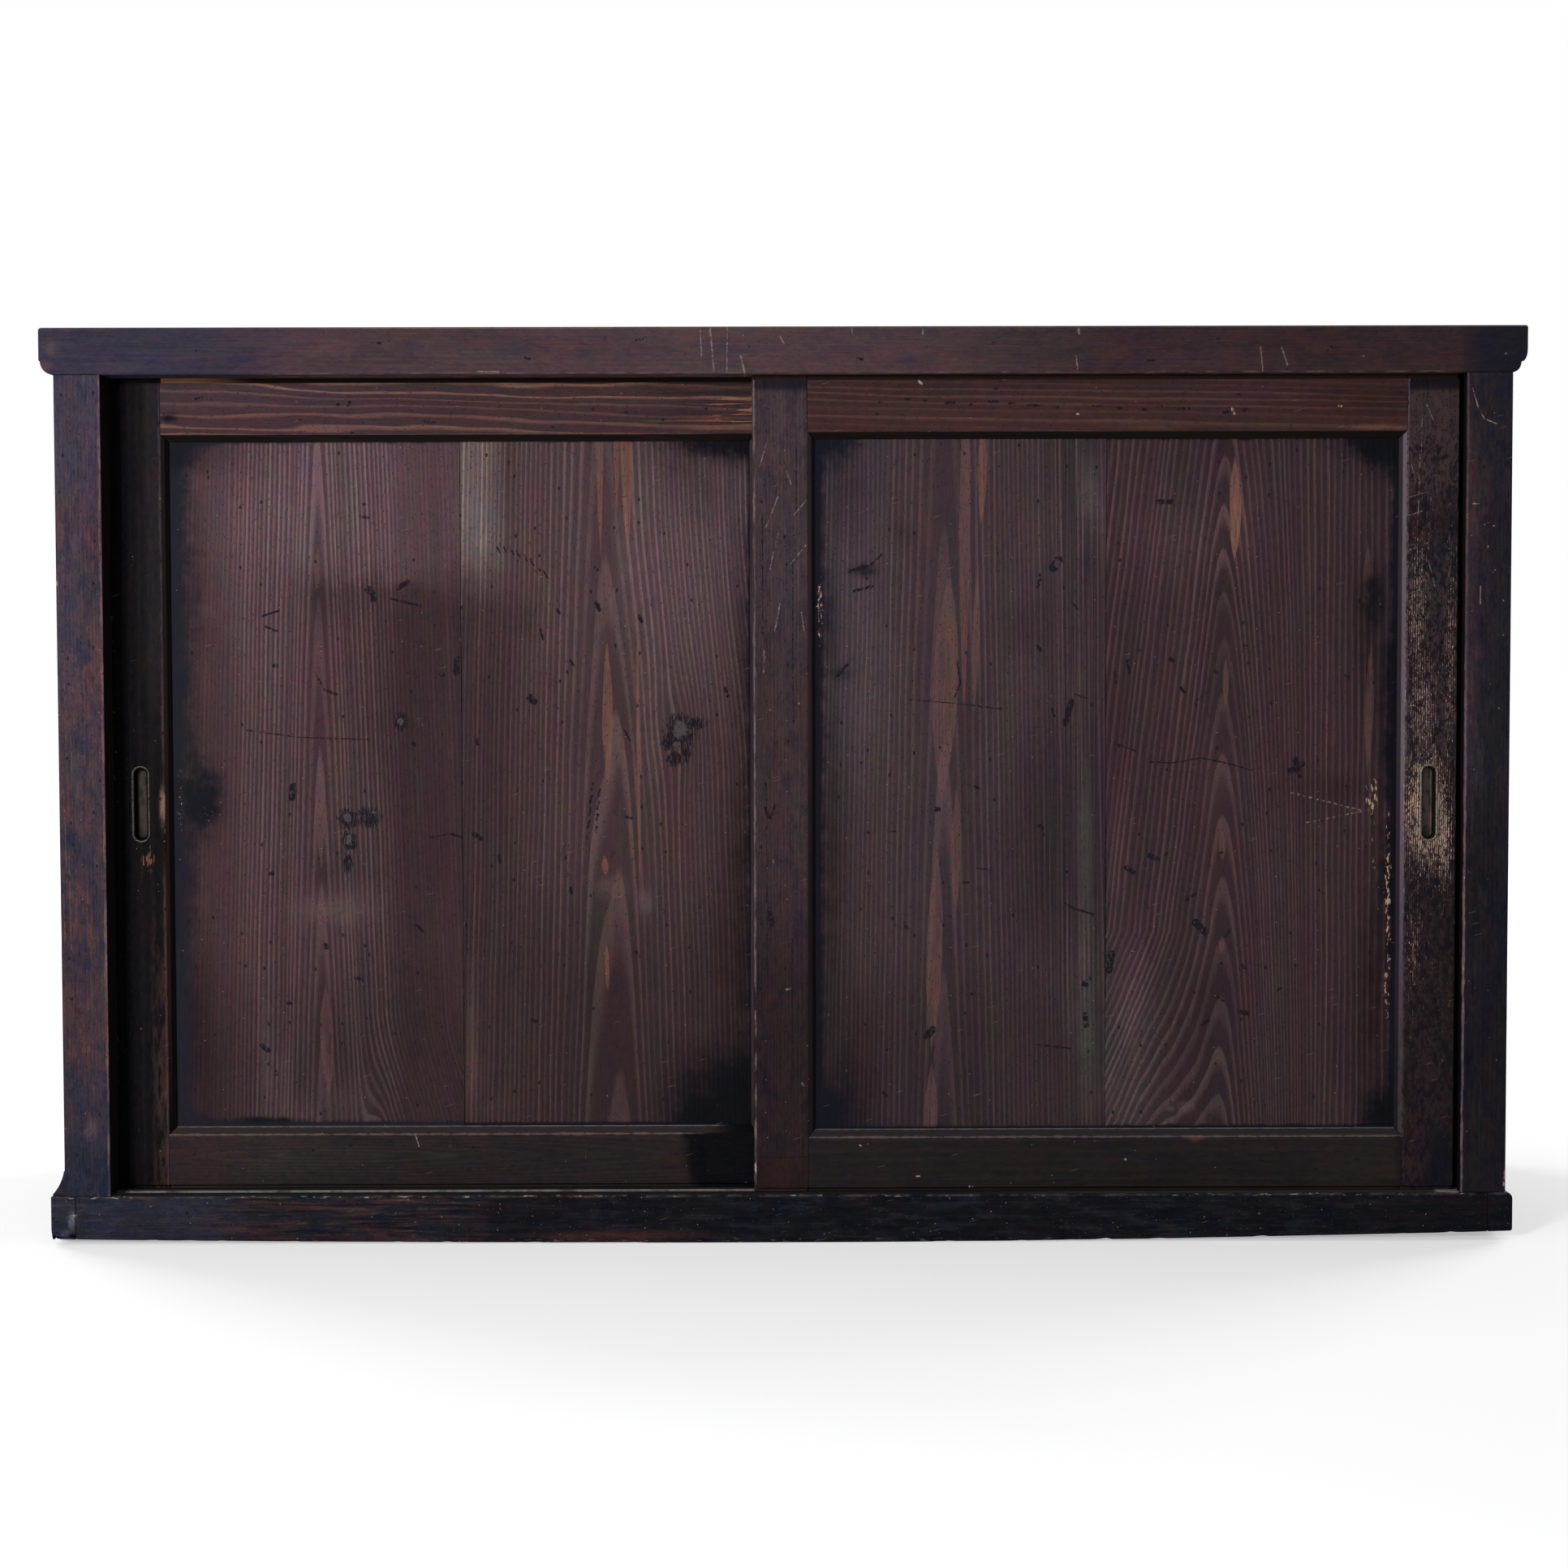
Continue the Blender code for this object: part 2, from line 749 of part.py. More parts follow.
def make_stile(name, outer, direction, face_width, parent):
    """An upright of a door frame. Direction is 1 where the door lies to its right."""
    plan = [(0.0, 0.0)] + member_inner_edge(face_width) + [(0.0, door_thickness)]
    low = -bottom_tongue - overrun
    high = door_height + top_tongue + overrun
    stile = prism(name, [(outer + direction * u, y) for u, y in plan], "Z", low, high, parent)
    across = sorted((outer - direction * overrun, outer + direction * (face_width + chamfer_width + overrun)))
    trim(stile, prism(name + "_edge_shape", door_edge_section(), "X", *across, parent))
    inner = face_width + chamfer_width
    face = [
        (-overrun, low - overrun),
        (face_width, low - overrun),
        (face_width, rail_width),
        (inner, rail_width + chamfer_width),
        (inner + overrun, rail_width + chamfer_width + overrun),
        (inner + overrun, door_height - rail_width - chamfer_width - overrun),
        (inner, door_height - rail_width - chamfer_width),
        (face_width, door_height - rail_width),
        (face_width, high + overrun),
        (-overrun, high + overrun),
    ]
    face = [(outer + direction * u, z) for u, z in face]
    trim(stile, prism(name + "_face_shape", face, "Y", -overrun, door_thickness + overrun, parent))
    mouth = outer + direction * (face_width + overrun)
    end = outer + direction * (face_width - door_tenon_length - tongue_end_gap)
    for word, z in tenon_heights():
        x = sorted((mouth, end))
        y = widened(tenon_depth(), seam)
        cut(stile, block(f"{name}_{word}_mortise", x, y, widened(z, seam), parent))
    return wood(stile, post_colour)


def rail_section(at_top):
    """A rail from its end: tongue on the outside, chamfer and groove towards the panel."""
    shoulder = (door_thickness - tongue_thickness) / 2
    far = door_thickness - shoulder
    tongue = top_tongue if at_top else bottom_tongue
    points = [(0.0, 0.0)] + [(y, z) for z, y in member_inner_edge(rail_width)]
    points += [(door_thickness, 0.0), (far, 0.0), (far, -tongue), (shoulder, -tongue), (shoulder, 0.0)]
    if at_top:
        points = [(y, door_height - z) for y, z in points]
    return points


def make_rail(name, at_top, left_width, right_width, parent):
    """A rail between the stiles, its chamfer mitred at both ends, with blind tenons."""
    rail = prism(name, rail_section(at_top), "X", 0.0, door_width, parent)
    left = left_width + seam
    right = door_width - right_width - seam
    reach = chamfer_width + overrun
    outline = [
        (left, -top_tongue - overrun),
        (left, rail_width),
        (left + reach, rail_width + reach),
        (right - reach, rail_width + reach),
        (right, rail_width),
        (right, -top_tongue - overrun),
    ]
    if at_top:
        outline = [(x, door_height - z) for x, z in outline]
    trim(rail, prism(name + "_face_shape", outline, "Y", -overrun, door_thickness + overrun, parent))
    heights = dict(tenon_heights())["top" if at_top else "bottom"]
    for word, mouth, inward in (("left", left, 1), ("right", right, -1)):
        x = sorted((mouth + inward * overrun, mouth - inward * (door_tenon_length + seam)))
        join(rail, block(f"{name}_{word}_tenon", x, tenon_depth(), heights, parent))
    return wood(rail, rail_colour)


def make_panel(word, left_width, right_width, parent):
    """Two upright boards, lapped at the middle, held in the frame's groove."""
    left = left_width + chamfer_width - panel_tongue_length
    right = door_width - right_width - chamfer_width + panel_tongue_length
    middle = (left + right) / 2
    front = panel_groove_front + seam
    back = front + panel_thickness
    centre = (front + back) / 2
    low = rail_width + chamfer_width - panel_groove_depth + seam
    high = door_height - rail_width - chamfer_width + panel_tongue_length
    left_plan = [
        (left, front),
        (middle, front),
        (middle, centre - seam / 2),
        (middle - panel_lap, centre - seam / 2),
        (middle - panel_lap, back),
        (left, back),
    ]
    right_plan = [
        (middle + seam, front),
        (right, front),
        (right, back),
        (middle - panel_lap + seam, back),
        (middle - panel_lap + seam, centre + seam / 2),
        (middle + seam, centre + seam / 2),
    ]
    for side, plan in (("left", left_plan), ("right", right_plan)):
        wood(prism(f"{word}_door_panel_board_{side}", plan, "Z", low, high, parent), panel_colour)


def make_battens(word, left_width, right_width, parent):
    """Thin battens across the back of the panel, between the stiles."""
    x = (left_width + chamfer_width + seam, door_width - right_width - chamfer_width - seam)
    front = panel_groove_front + panel_groove_width
    rise = door_height * batten_place_share
    for place, centre in (("lower", rise), ("upper", door_height - rise)):
        z = (centre - batten_width / 2, centre + batten_width / 2)
        batten = block(f"{word}_door_{place}_batten", x, (front, front + batten_thickness), z, parent)
        wood(batten, inside_colour, inside_roughness)


def pull_outline(grow):
    """The pull's long outline with cut corners, moved out by a distance."""
    half = pull_width / 2
    top = pull_height / 2
    slope = Vector((pull_corner_height, pull_corner_width)).normalized()
    side_end = top - pull_corner_height + grow * (1 - slope.x) / slope.y
    top_end_x = half - pull_corner_width + grow * (1 - slope.y) / slope.x
    quarter = [(half + grow, side_end), (top_end_x, top + grow)]
    upper = quarter + [(-x, z) for x, z in quarter[::-1]]
    return upper + [(-x, -z) for x, z in upper]


def loft(name, rings, parent):
    """A closed solid through a row of rings of points, capped at both ends."""
    shape = bmesh.new()
    rows = [[shape.verts.new(point) for point in ring] for ring in rings]
    for near, far in zip(rows, rows[1:]):
        for a in range(len(near)):
            b = (a + 1) % len(near)
            shape.faces.new((near[a], near[b], far[b], far[a]))
    shape.faces.new(rows[0])
    shape.faces.new(rows[-1])
    bmesh.ops.recalc_face_normals(shape, faces=shape.faces)
    mesh = bpy.data.meshes.new(name)
    shape.to_mesh(mesh)
    shape.free()
    return add_object(name, mesh, parent)


def make_pull(word, stile, centre_x, parent):
    """A metal cup with a flat rim, let into the handle stile."""
    centre_z = pull_height_above_sill - bottom_shoulder_gap
    wall = -pull_rim_width
    mouth = wall - pull_metal
    levels = [
        (wall - pull_draft, pull_depth + pull_metal),
        (wall, -seam),
        (0.0, -seam),
        (0.0, -seam - pull_metal / 2),
        (-pull_metal / 2, -seam - pull_metal),
        (mouth, -seam - pull_metal),
        (mouth - pull_draft, pull_depth),
    ]
    rings = [[(centre_x + x, y, centre_z + z) for x, z in pull_outline(grow)] for grow, y in levels]
    pull = loft(f"{word}_door_finger_pull", rings, parent)
    pull.data.shade_smooth()
    pull.data.set_sharp_from_angle(angle=math.radians(35))
    pull.data.materials.append(finish_material(pull.name + "_iron", iron_colour, iron_roughness, 1.0))
    pocket_outline = [(centre_x + x, centre_z + z) for x, z in pull_outline(wall + seam)]
    pocket_depth = pull_depth + pull_metal + seam
    cut(stile, prism(f"{word}_door_pull_pocket", pocket_outline, "Y", -overrun, pocket_depth, parent))


def make_door(word, handle_on_left, place):
    """One door, built from its front bottom left corner at the empty's place."""
    parent = bpy.data.objects.new(f"{word}_door_track", None)
    bpy.context.scene.collection.objects.link(parent)
    parent.location = place
    left_width = handle_stile_width if handle_on_left else meeting_stile_width
    right_width = meeting_stile_width if handle_on_left else handle_stile_width
    names = ("handle", "meeting") if handle_on_left else ("meeting", "handle")
    left_stile = make_stile(f"{word}_door_{names[0]}_stile", 0.0, 1, left_width, parent)
    right_stile = make_stile(f"{word}_door_{names[1]}_stile", door_width, -1, right_width, parent)
    make_rail(f"{word}_door_bottom_rail", False, left_width, right_width, parent)
    make_rail(f"{word}_door_top_rail", True, left_width, right_width, parent)
    make_panel(word, left_width, right_width, parent)
    make_battens(word, left_width, right_width, parent)
    if handle_on_left:
        make_pull(word, left_stile, pull_inset, parent)
    else:
        make_pull(word, right_stile, door_width - pull_inset, parent)


def main():
    clear_scene()
    make_top()
    make_posts()
    make_side_boards()
    make_plinth()
    make_floor()
    make_back()
    make_shelf()
    rear_face = rear_track_y - door_thickness / 2
    front_face = front_track_y - door_thickness / 2
    make_door("left", True, (left_door_x, rear_face, door_base_z))
    make_door("right", False, (right_door_x, front_face, door_base_z))


main()
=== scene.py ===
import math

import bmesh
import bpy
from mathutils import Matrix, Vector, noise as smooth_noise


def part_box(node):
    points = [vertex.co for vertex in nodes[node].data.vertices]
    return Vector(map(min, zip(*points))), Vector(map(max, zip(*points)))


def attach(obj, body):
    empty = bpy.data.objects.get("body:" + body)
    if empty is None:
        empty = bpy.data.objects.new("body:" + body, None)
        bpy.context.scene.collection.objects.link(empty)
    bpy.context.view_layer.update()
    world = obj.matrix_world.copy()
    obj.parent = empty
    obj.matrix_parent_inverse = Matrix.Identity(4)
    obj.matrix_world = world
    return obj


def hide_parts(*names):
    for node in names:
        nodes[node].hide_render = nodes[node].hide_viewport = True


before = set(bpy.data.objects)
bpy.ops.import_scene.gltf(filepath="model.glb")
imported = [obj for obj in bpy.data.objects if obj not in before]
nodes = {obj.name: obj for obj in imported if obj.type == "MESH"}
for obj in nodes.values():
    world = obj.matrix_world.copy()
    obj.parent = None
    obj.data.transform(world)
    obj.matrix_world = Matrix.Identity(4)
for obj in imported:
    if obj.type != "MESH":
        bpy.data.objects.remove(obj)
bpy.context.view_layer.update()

# Looks of the low cedar chest with two sliding panelled doors.
#
# Geometry is in metres, front towards -Y. Every board has its own wood, worked out from the place
# of a point in the board, so the grain runs on round the edges and through the end grain. Patterns
# are written in millimetres in the same frame, so a stain or a scratch has a place on the chest.
# Colours of the wood and metal are written in thousandths.

# Camera and picture
camera_place = (-0.0118, -2.7000, 0.5083)
camera_pitch_down = 2.954
camera_turn = -0.254
camera_roll = -0.133
camera_lens = 70.14
sensor_width = 36.0

# Light: (place, aim, size, power, colour)
lamps = {
    "key": ((-1.45, -3.10, 1.05), (0.0, -0.20, 0.42), (0.5, 0.5), 72.0, (0.97, 0.98, 1.0)),
    "overhead": ((0.0, -0.4, 2.8), (0.0, -0.4, 0.0), (2.6, 2.6), 14.0, (1.0, 1.0, 1.0)),
    "rear_left": ((-2.4, 2.2, 1.5), (0.0, 0.2, 0.4), (1.6, 1.6), 60.0, (1.0, 1.0, 1.0)),
    "rear_right": ((2.4, 1.8, 1.2), (0.0, 0.2, 0.4), (1.6, 1.6), 50.0, (1.0, 1.0, 1.0)),
}
ambient_level = 0.20
floor_colour = (0.82, 0.82, 0.82)
floor_lift = 0.42
floor_reach = 30.0
floor_fade = (1.2, 4.0)

# Rounded arrises, in metres and degrees
weld_distance = 0.00002
arris_width = 0.0006
arris_segments = 2
arris_angle = math.radians(40.0)

AXES = "xyz"
MILLIMETRES = 1000.0
THOUSANDTHS = 1000.0


class Field:
    """A number, vector or colour made by shader nodes. Arithmetic on it adds nodes."""

    def __init__(self, socket):
        self.socket = socket

    def __add__(self, other):
        return compute("ADD", self, other)

    def __sub__(self, other):
        return compute("SUBTRACT", self, other)

    def __rsub__(self, other):
        return compute("SUBTRACT", other, self)

    def __mul__(self, other):
        return compute("MULTIPLY", self, other)

    def __truediv__(self, other):
        return compute("DIVIDE", self, other)

    __radd__ = __add__
    __rmul__ = __mul__


def node_for(kind, values):
    """A new node in the tree that the given fields belong to."""
    tree = next(value.socket.id_data for value in values if isinstance(value, Field))
    return tree.nodes.new(kind)


def feed(socket, value):
    """Links a field to a socket, or writes a plain number or colour on it."""
    if isinstance(value, Field):
        socket.id_data.links.new(value.socket, socket)
    else:
        socket.default_value = value


def feed_node(kind, operation, values):
    """A new node for an operation, with its inputs fed in order."""
    node = node_for(kind, values)
    node.operation = operation
    for socket, value in zip(node.inputs, values):
        feed(socket, value)
    return node


def compute(operation, *values):
    """One arithmetic node."""
    return Field(feed_node("ShaderNodeMath", operation, values).outputs[0])


def compute_vector(operation, *values):
    """One vector node. Lengths, distances and dot products come back as numbers."""
    node = feed_node("ShaderNodeVectorMath", operation, values)
    as_number = operation in ("LENGTH", "DISTANCE", "DOT_PRODUCT")
    return Field(node.outputs["Value" if as_number else "Vector"])


def scaled(field, factor):
    """A vector or colour made longer or brighter by a number."""
    node = feed_node("ShaderNodeVectorMath", "SCALE", (field,))
    feed(node.inputs["Scale"], factor)
    return Field(node.outputs["Vector"])


def split(field):
    """The three parts of a vector."""
    node = node_for("ShaderNodeSeparateXYZ", (field,))
    feed(node.inputs[0], field)
    return [Field(output) for output in node.outputs]


def ramp(value, start, end):
    """0 up to start, 1 from end on, and a smooth step between them."""
    node = node_for("ShaderNodeMapRange", (value,))
    node.interpolation_type = "SMOOTHSTEP"
    for label, given in (("Value", value), ("From Min", start), ("From Max", end)):
        feed(node.inputs[label], given)
    return Field(node.outputs[0])


def between(value, *steps):
    """1 inside two smooth steps, each given by the level where it is 0 and the level where it is 1."""
    return ramp(value, *steps[:2]) * ramp(value, *steps[2:])


def clamped(value):
    """A number kept between 0 and 1."""
    node = node_for("ShaderNodeClamp", (value,))
    feed(node.inputs[0], value)
    return Field(node.outputs[0])


def paint(colour):
    """A field as it is, or a colour in thousandths as a socket takes it."""
    return colour if isinstance(colour, Field) else (*[part / THOUSANDTHS for part in colour], 1.0)


def blend(first, second, share):
    """One colour turning into another."""
    node = node_for("ShaderNodeMix", (first, second, share))
    node.data_type = "RGBA"
    for index, value in ((0, share), (6, paint(first)), (7, paint(second))):
        feed(node.inputs[index], value)
    return Field(node.outputs[2])


def noise(point, size, detail, roughness):
    """Smooth noise with features of a size in millimetres, one number or one an axis."""
    sizes = size if isinstance(size, tuple) else (size, size, size)
    node = node_for("ShaderNodeTexNoise", (point,))
    feed(node.inputs["Vector"], compute_vector("DIVIDE", point, sizes))
    for label, value in (("Scale", 1.0), ("Detail", detail), ("Roughness", roughness)):
        node.inputs[label].default_value = value
    return node


def cloud(point, size, detail=2.0, roughness=0.5):
    """Noise as a number about 0.5."""
    return Field(noise(point, size, detail, roughness).outputs[0])


def sequence(value):
    """Smooth noise along a single number."""
    node = node_for("ShaderNodeTexNoise", (value,))
    node.noise_dimensions = "1D"
    feed(node.inputs["W"], value)
    for label in ("Scale", "Detail"):
        node.inputs[label].default_value = 1.0
    return Field(node.outputs[0])


def spots(point, sizes, flat):
    """Scattered points: the distance from the nearest one, and a number that is its own."""
    node = node_for("ShaderNodeTexVoronoi", (point,))
    node.voronoi_dimensions = "2D" if flat else "3D"
    feed(node.inputs["Vector"], compute_vector("DIVIDE", point, sizes))
    node.inputs["Scale"].default_value = 1.0
    return Field(node.outputs["Distance"]), split(Field(node.outputs["Color"]))[0]


def make_group(name, build, vectors, numbers):
    """A node group that joins the fields of its inputs into one number."""
    tree = bpy.data.node_groups.new(name, "ShaderNodeTree")
    for kind, labels in (("Vector", vectors), ("Float", numbers)):
        for label in labels:
            tree.interface.new_socket(label, in_out="INPUT", socket_type=f"NodeSocket{kind}")
    tree.interface.new_socket("result", in_out="OUTPUT", socket_type="NodeSocketFloat")
    start = tree.nodes.new("NodeGroupInput")
    result = build(**{label: Field(start.outputs[label]) for label in vectors + numbers})
    tree.links.new(result.socket, tree.nodes.new("NodeGroupOutput").inputs[0])
    return tree


def call(group, **values):
    """One node that stands for a node group."""
    node = node_for("ShaderNodeGroup", values.values())
    node.node_tree = group
    for label, value in values.items():
        feed(node.inputs[label], value)
    return Field(node.outputs[0])


def join_stroke(point, start, way, step, wobble, outer, inner, others):
    """How deep a point lies in a straight stroke, or in one of the others."""
    offset = compute_vector("SUBTRACT", point, start)
    share = clamped(compute_vector("DOT_PRODUCT", offset, step))
    gap = compute_vector("DISTANCE", offset, scaled(way, share)) + wobble
    return compute("MAXIMUM", others, ramp(gap, outer, inner))


def join_hill(point, middle, shrink, height, others):
    """The height of a round hill, or of one of the others."""
    offset = compute_vector("MULTIPLY", compute_vector("SUBTRACT", point, middle), shrink)
    fall = compute_vector("DOT_PRODUCT", offset, offset)
    return compute("MAXIMUM", others, compute("EXPONENT", fall * -1.0) * height)


def join_flame(x, z, wobble, foot, span, x_foot, lean, half, others):
    """How deep a point lies in a pointed flame, or in one of the others."""
    share = (z - foot) / span
    middle = share * lean + x_foot
    width = share * (1.0 - share) * half
    gap = width - compute("ABSOLUTE", x - middle + wobble)
    return compute("MAXIMUM", others, ramp(gap, 0.0, 1.1))


stroke_group = make_group("stroke", join_stroke, ("point", "start", "way", "step"),
                          ("wobble", "outer", "inner", "others"))
hill_group = make_group("hill", join_hill, ("point", "middle", "shrink"), ("height", "others"))
flame_group = make_group("flame", join_flame, (), ("x", "z", "wobble", "foot", "span", "x_foot", "lean",
                                                   "half", "others"))

# Wood colours
ember = (125, 66, 61)
ember_bright = (185, 84, 60)
soot_and_shade = (6.0, 6.2, 9.0)
navy = (9.0, 9.2, 14.5)
raw_wood = (420, 270, 180)
raw_orange = (560, 250, 130)
pale_chip = (420, 350, 310)
dent_dark = (12, 11, 15)
knot_grey = (68, 58, 64)
bare_early = (150, 94, 60)
bare_late = (78, 43, 27)
bare_dark = (34, 21, 15)

# Marks: how much narrower a stroke is than written, and how deep a dent is beside the grain
stroke_share = 0.92
dent_depth = 0.8


def limits(name):
    """A CAD node's two corners in millimetres."""
    low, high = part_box(name)
    return tuple(low * MILLIMETRES), tuple(high * MILLIMETRES)


class Wood:
    """One board's material, laid on in coats from the grain outwards."""

    def __init__(self, name, along, across, face=None, specular=0.012):
        self.name = name
        self.material = bpy.data.materials.new(name)
        self.material.use_nodes = True
        tree = self.material.node_tree
        self.shader = tree.nodes["Principled BSDF"]
        self.shader.inputs["Specular IOR Level"].default_value = specular
        place = Field(tree.nodes.new("ShaderNodeTexCoord").outputs["Object"])
        self.solid = dict(zip(AXES, split(scaled(place, MILLIMETRES))))
        self.face, spread_x, spread_z, lift = face or (None, 1.0, 1.0, 0.0)
        spread = (MILLIMETRES / spread_x, MILLIMETRES, MILLIMETRES / spread_z)
        self.point = compute_vector("MULTIPLY_ADD", place, spread, (0.0, 0.0, -lift / spread_z))
        self.axis = dict(zip(AXES, split(self.point)))
        self.along = along
        self.across = across
        self.deep = next(letter for letter in AXES if letter not in (along, across))
        self.front = 1.0
        if face:
            self.front = ramp(self.axis["y"], self.face + 2.0, self.face + 1.0)
        self.rough = cloud(self.point, 1.8, 3.0, 0.65) - 0.5
        self.patchy = cloud(self.point, 15.0, 5.0, 0.66) - 0.5

    def stretch(self, long, short):
        """A size that is long with the grain and short across it."""
        return tuple(long if letter == self.along else short for letter in AXES)

    def sway(self, size, reach, detail=2.0, roughness=0.5):
        """Noise about 0, with its reach from lowest to highest."""
        return (cloud(self.point, size, detail, roughness) - 0.5) * reach

    def areas(self, size, start, end, detail=2.0, roughness=0.5):
        """Ragged areas, where noise is over two levels."""
        return ramp(cloud(self.point, size, detail, roughness), start, end)

    def rings(self, pith, spacing, taper=0.0, wave=3.0, reach=160.0):
        """Yearly rings counted out from the pith, which lies at (across, deep)."""
        wander = self.sway(self.stretch(reach, 38.0), 2.0 * wave, 1.0)
        wide = self.axis[self.across] - pith[0] + wander
        down = self.axis[self.deep] - pith[1]
        radius = compute("SQRT", wide * wide + down * down)
        return (radius + self.axis[self.along] * taper) / spacing

    def grain(self, count, early, late, strength=1.0, band=(0.35, 0.80)):
        """Turns a ring count into pale hard lines on softer wood."""
        count = count + sequence(count * 0.13) * 2.2
        phase = compute("FRACT", count)
        uneven = ramp(sequence(count * 0.43), 0.30, 0.70) * 0.65 + 0.35
        share = between(phase, *band, 1.0, 0.90) * uneven * strength
        self.colour = blend(early, late, share)
        self.mean = tuple(soft * 0.65 + hard * 0.35 for soft, hard in zip(early, late))
        self.height = share

    def fibres(self, amount, long=42.0, short=0.9):
        """Fine streaks along the grain."""
        streak = cloud(self.point, self.stretch(long, short), 3.0, 0.62) - 0.5
        self.colour = scaled(self.colour, streak * (2.0 * amount) + 1.0)
        self.height = self.height + streak * 0.8

    def tint(self, amount, size):
        """Uneven colour: red, green and blue each drift on their own."""
        drift = Field(noise(self.point, size, 5.0, 0.72).outputs["Color"])
        spread, middle = (2.0 * amount,) * 3, (1.0 - amount,) * 3
        self.colour = compute_vector("MULTIPLY", self.colour,
                                     compute_vector("MULTIPLY_ADD", drift, spread, middle))

    def mottle(self, amount, long=260.0, short=40.0):
        """Broad light and dark areas."""
        area = self.sway(self.stretch(long, short), 2.0 * amount, 3.0, 0.55)
        self.colour = scaled(self.colour, area + 1.0)

    def lay(self, colour, share):
        """Lays a colour over what is there."""
        self.colour = blend(self.colour, colour, share)

    def shine(self, colour, share):
        """Moves the mean tone to a colour and keeps the grain."""
        change = tuple(part / mean for part, mean in zip(colour, self.mean))
        moved = compute_vector("MULTIPLY", self.colour, change)
        self.colour = blend(self.colour, moved, share * self.front)

    def hills(self, places):
        """The highest of several round hills: (x, z, reach x, reach z, height)."""
        total = 0.0
        for x, z, reach_x, reach_z, height in places:
            total = call(hill_group, point=self.point, middle=(x, 0.0, z),
                         shrink=(1.0 / reach_x, 0.0, 1.0 / reach_z), height=height, others=total)
        return total

    def patches(self, colour, places, ragged=0.25):
        """Soft stains or rubbed areas: (x, z, reach x, reach z, strength)."""
        break_up = self.patchy * (3.0 * ragged)
        total = self.hills(places)
        self.lay(colour, ramp(total + total * break_up, 0.04, 0.96) * self.front)

    def tone(self, places, change):
        """Softly lighter (change 1) or darker (-1) areas, as in patches."""
        total = self.hills(places) * (self.patchy * 1.6 + 1.0)
        self.colour = scaled(self.colour, total * (change * self.front) + 1.0)

    def rubbed(self, colour, places, grain_size, top=0.86):
        """Stain broken through to the wood below, in upright flecks: places as in patches."""
        limit = self.hills(places) * -0.42 + top
        short, long = grain_size
        flecks = cloud(self.point, (short, short, long), 3.0, 0.68)
        self.lay(colour, ramp(flecks - limit, -0.03, 0.03) * self.front)

    def pinstripes(self, colour, places, spacing, grain_size, top):
        """Stain worn off the raised lines of the grain: broken pale stripes."""
        wander = self.sway((14.0, 14.0, 170.0), 4.0, 1.0)
        phase = compute("FRACT", (self.axis["x"] + wander) / spacing)
        ridge = ramp(compute("ABSOLUTE", phase - 0.5), 0.44, 0.12)
        short, long = grain_size
        flecks = cloud(self.point, (short, short, long), 4.0, 0.72)
        limit = self.hills(places) * -0.42 + top
        self.lay(colour, ramp(flecks + ridge * 0.18 - limit, -0.012, 0.018) * self.front)

    def knot(self, torn, heart):
        """A dead knot: torn black fibres round a grey heart."""
        fibres = self.sway((1.1, 1.1, 6.0), 6.0, 4.0, 0.74)
        ragged = self.sway(3.4, 1.6, 3.0, 0.65)
        for colour, places, tear in ((dent_dark, torn, fibres), (knot_grey, heart, ragged)):
            total = self.hills(places)
            self.lay(colour, ramp(total + total * tear, 0.52, 0.66) * self.front)

    def marks(self, colour, strokes, strength=1.0, ragged=0.5, soft=0.4):
        """Dents and scratches on the front, listed one by one: (x, z, x, z, half width)."""
        flat = compute_vector("MULTIPLY", self.point, (1.0, 0.0, 1.0))
        wobble = self.rough * (5.0 * ragged)
        total = 0.0
        for x0, z0, x1, z1, width in strokes:
            width = stroke_share * width
            way = Vector((x1 - x0, 0.0, z1 - z0))
            step = way / max(way.length_squared, 0.0001)
            total = call(stroke_group, point=flat, wobble=wobble, start=(x0, 0.0, z0), way=tuple(way),
                         step=tuple(step), outer=width + soft, inner=max(width - soft, 0.0), others=total)
        total = total * self.areas((2.4, 2.4, 3.6), 0.34, 0.52, 2.0, 0.6)
        self.lay(colour, total * self.front * strength)
        self.height = self.height - total * self.front * dent_depth

    def lenses(self, colour, shapes, strength):
        """Pointed flames of hard wood: (x top, z top, x foot, z foot, half width)."""
        wobble = self.sway(self.stretch(30.0, 2.2), 7.0, 4.0, 0.62)
        total = 0.0
        for x_top, z_top, x_foot, z_foot, half in shapes:
            total = call(flame_group, x=self.axis["x"], z=self.axis["z"], wobble=wobble * 0.4, foot=z_foot,
                         span=z_top - z_foot, x_foot=x_foot, lean=x_top - x_foot, half=4.0 * half,
                         others=total)
        inside = self.areas(self.stretch(34.0, 1.1), 0.34, 0.54, 3.0, 0.6) * 0.5 + 0.5
        self.lay(colour, total * inside * self.front * strength)

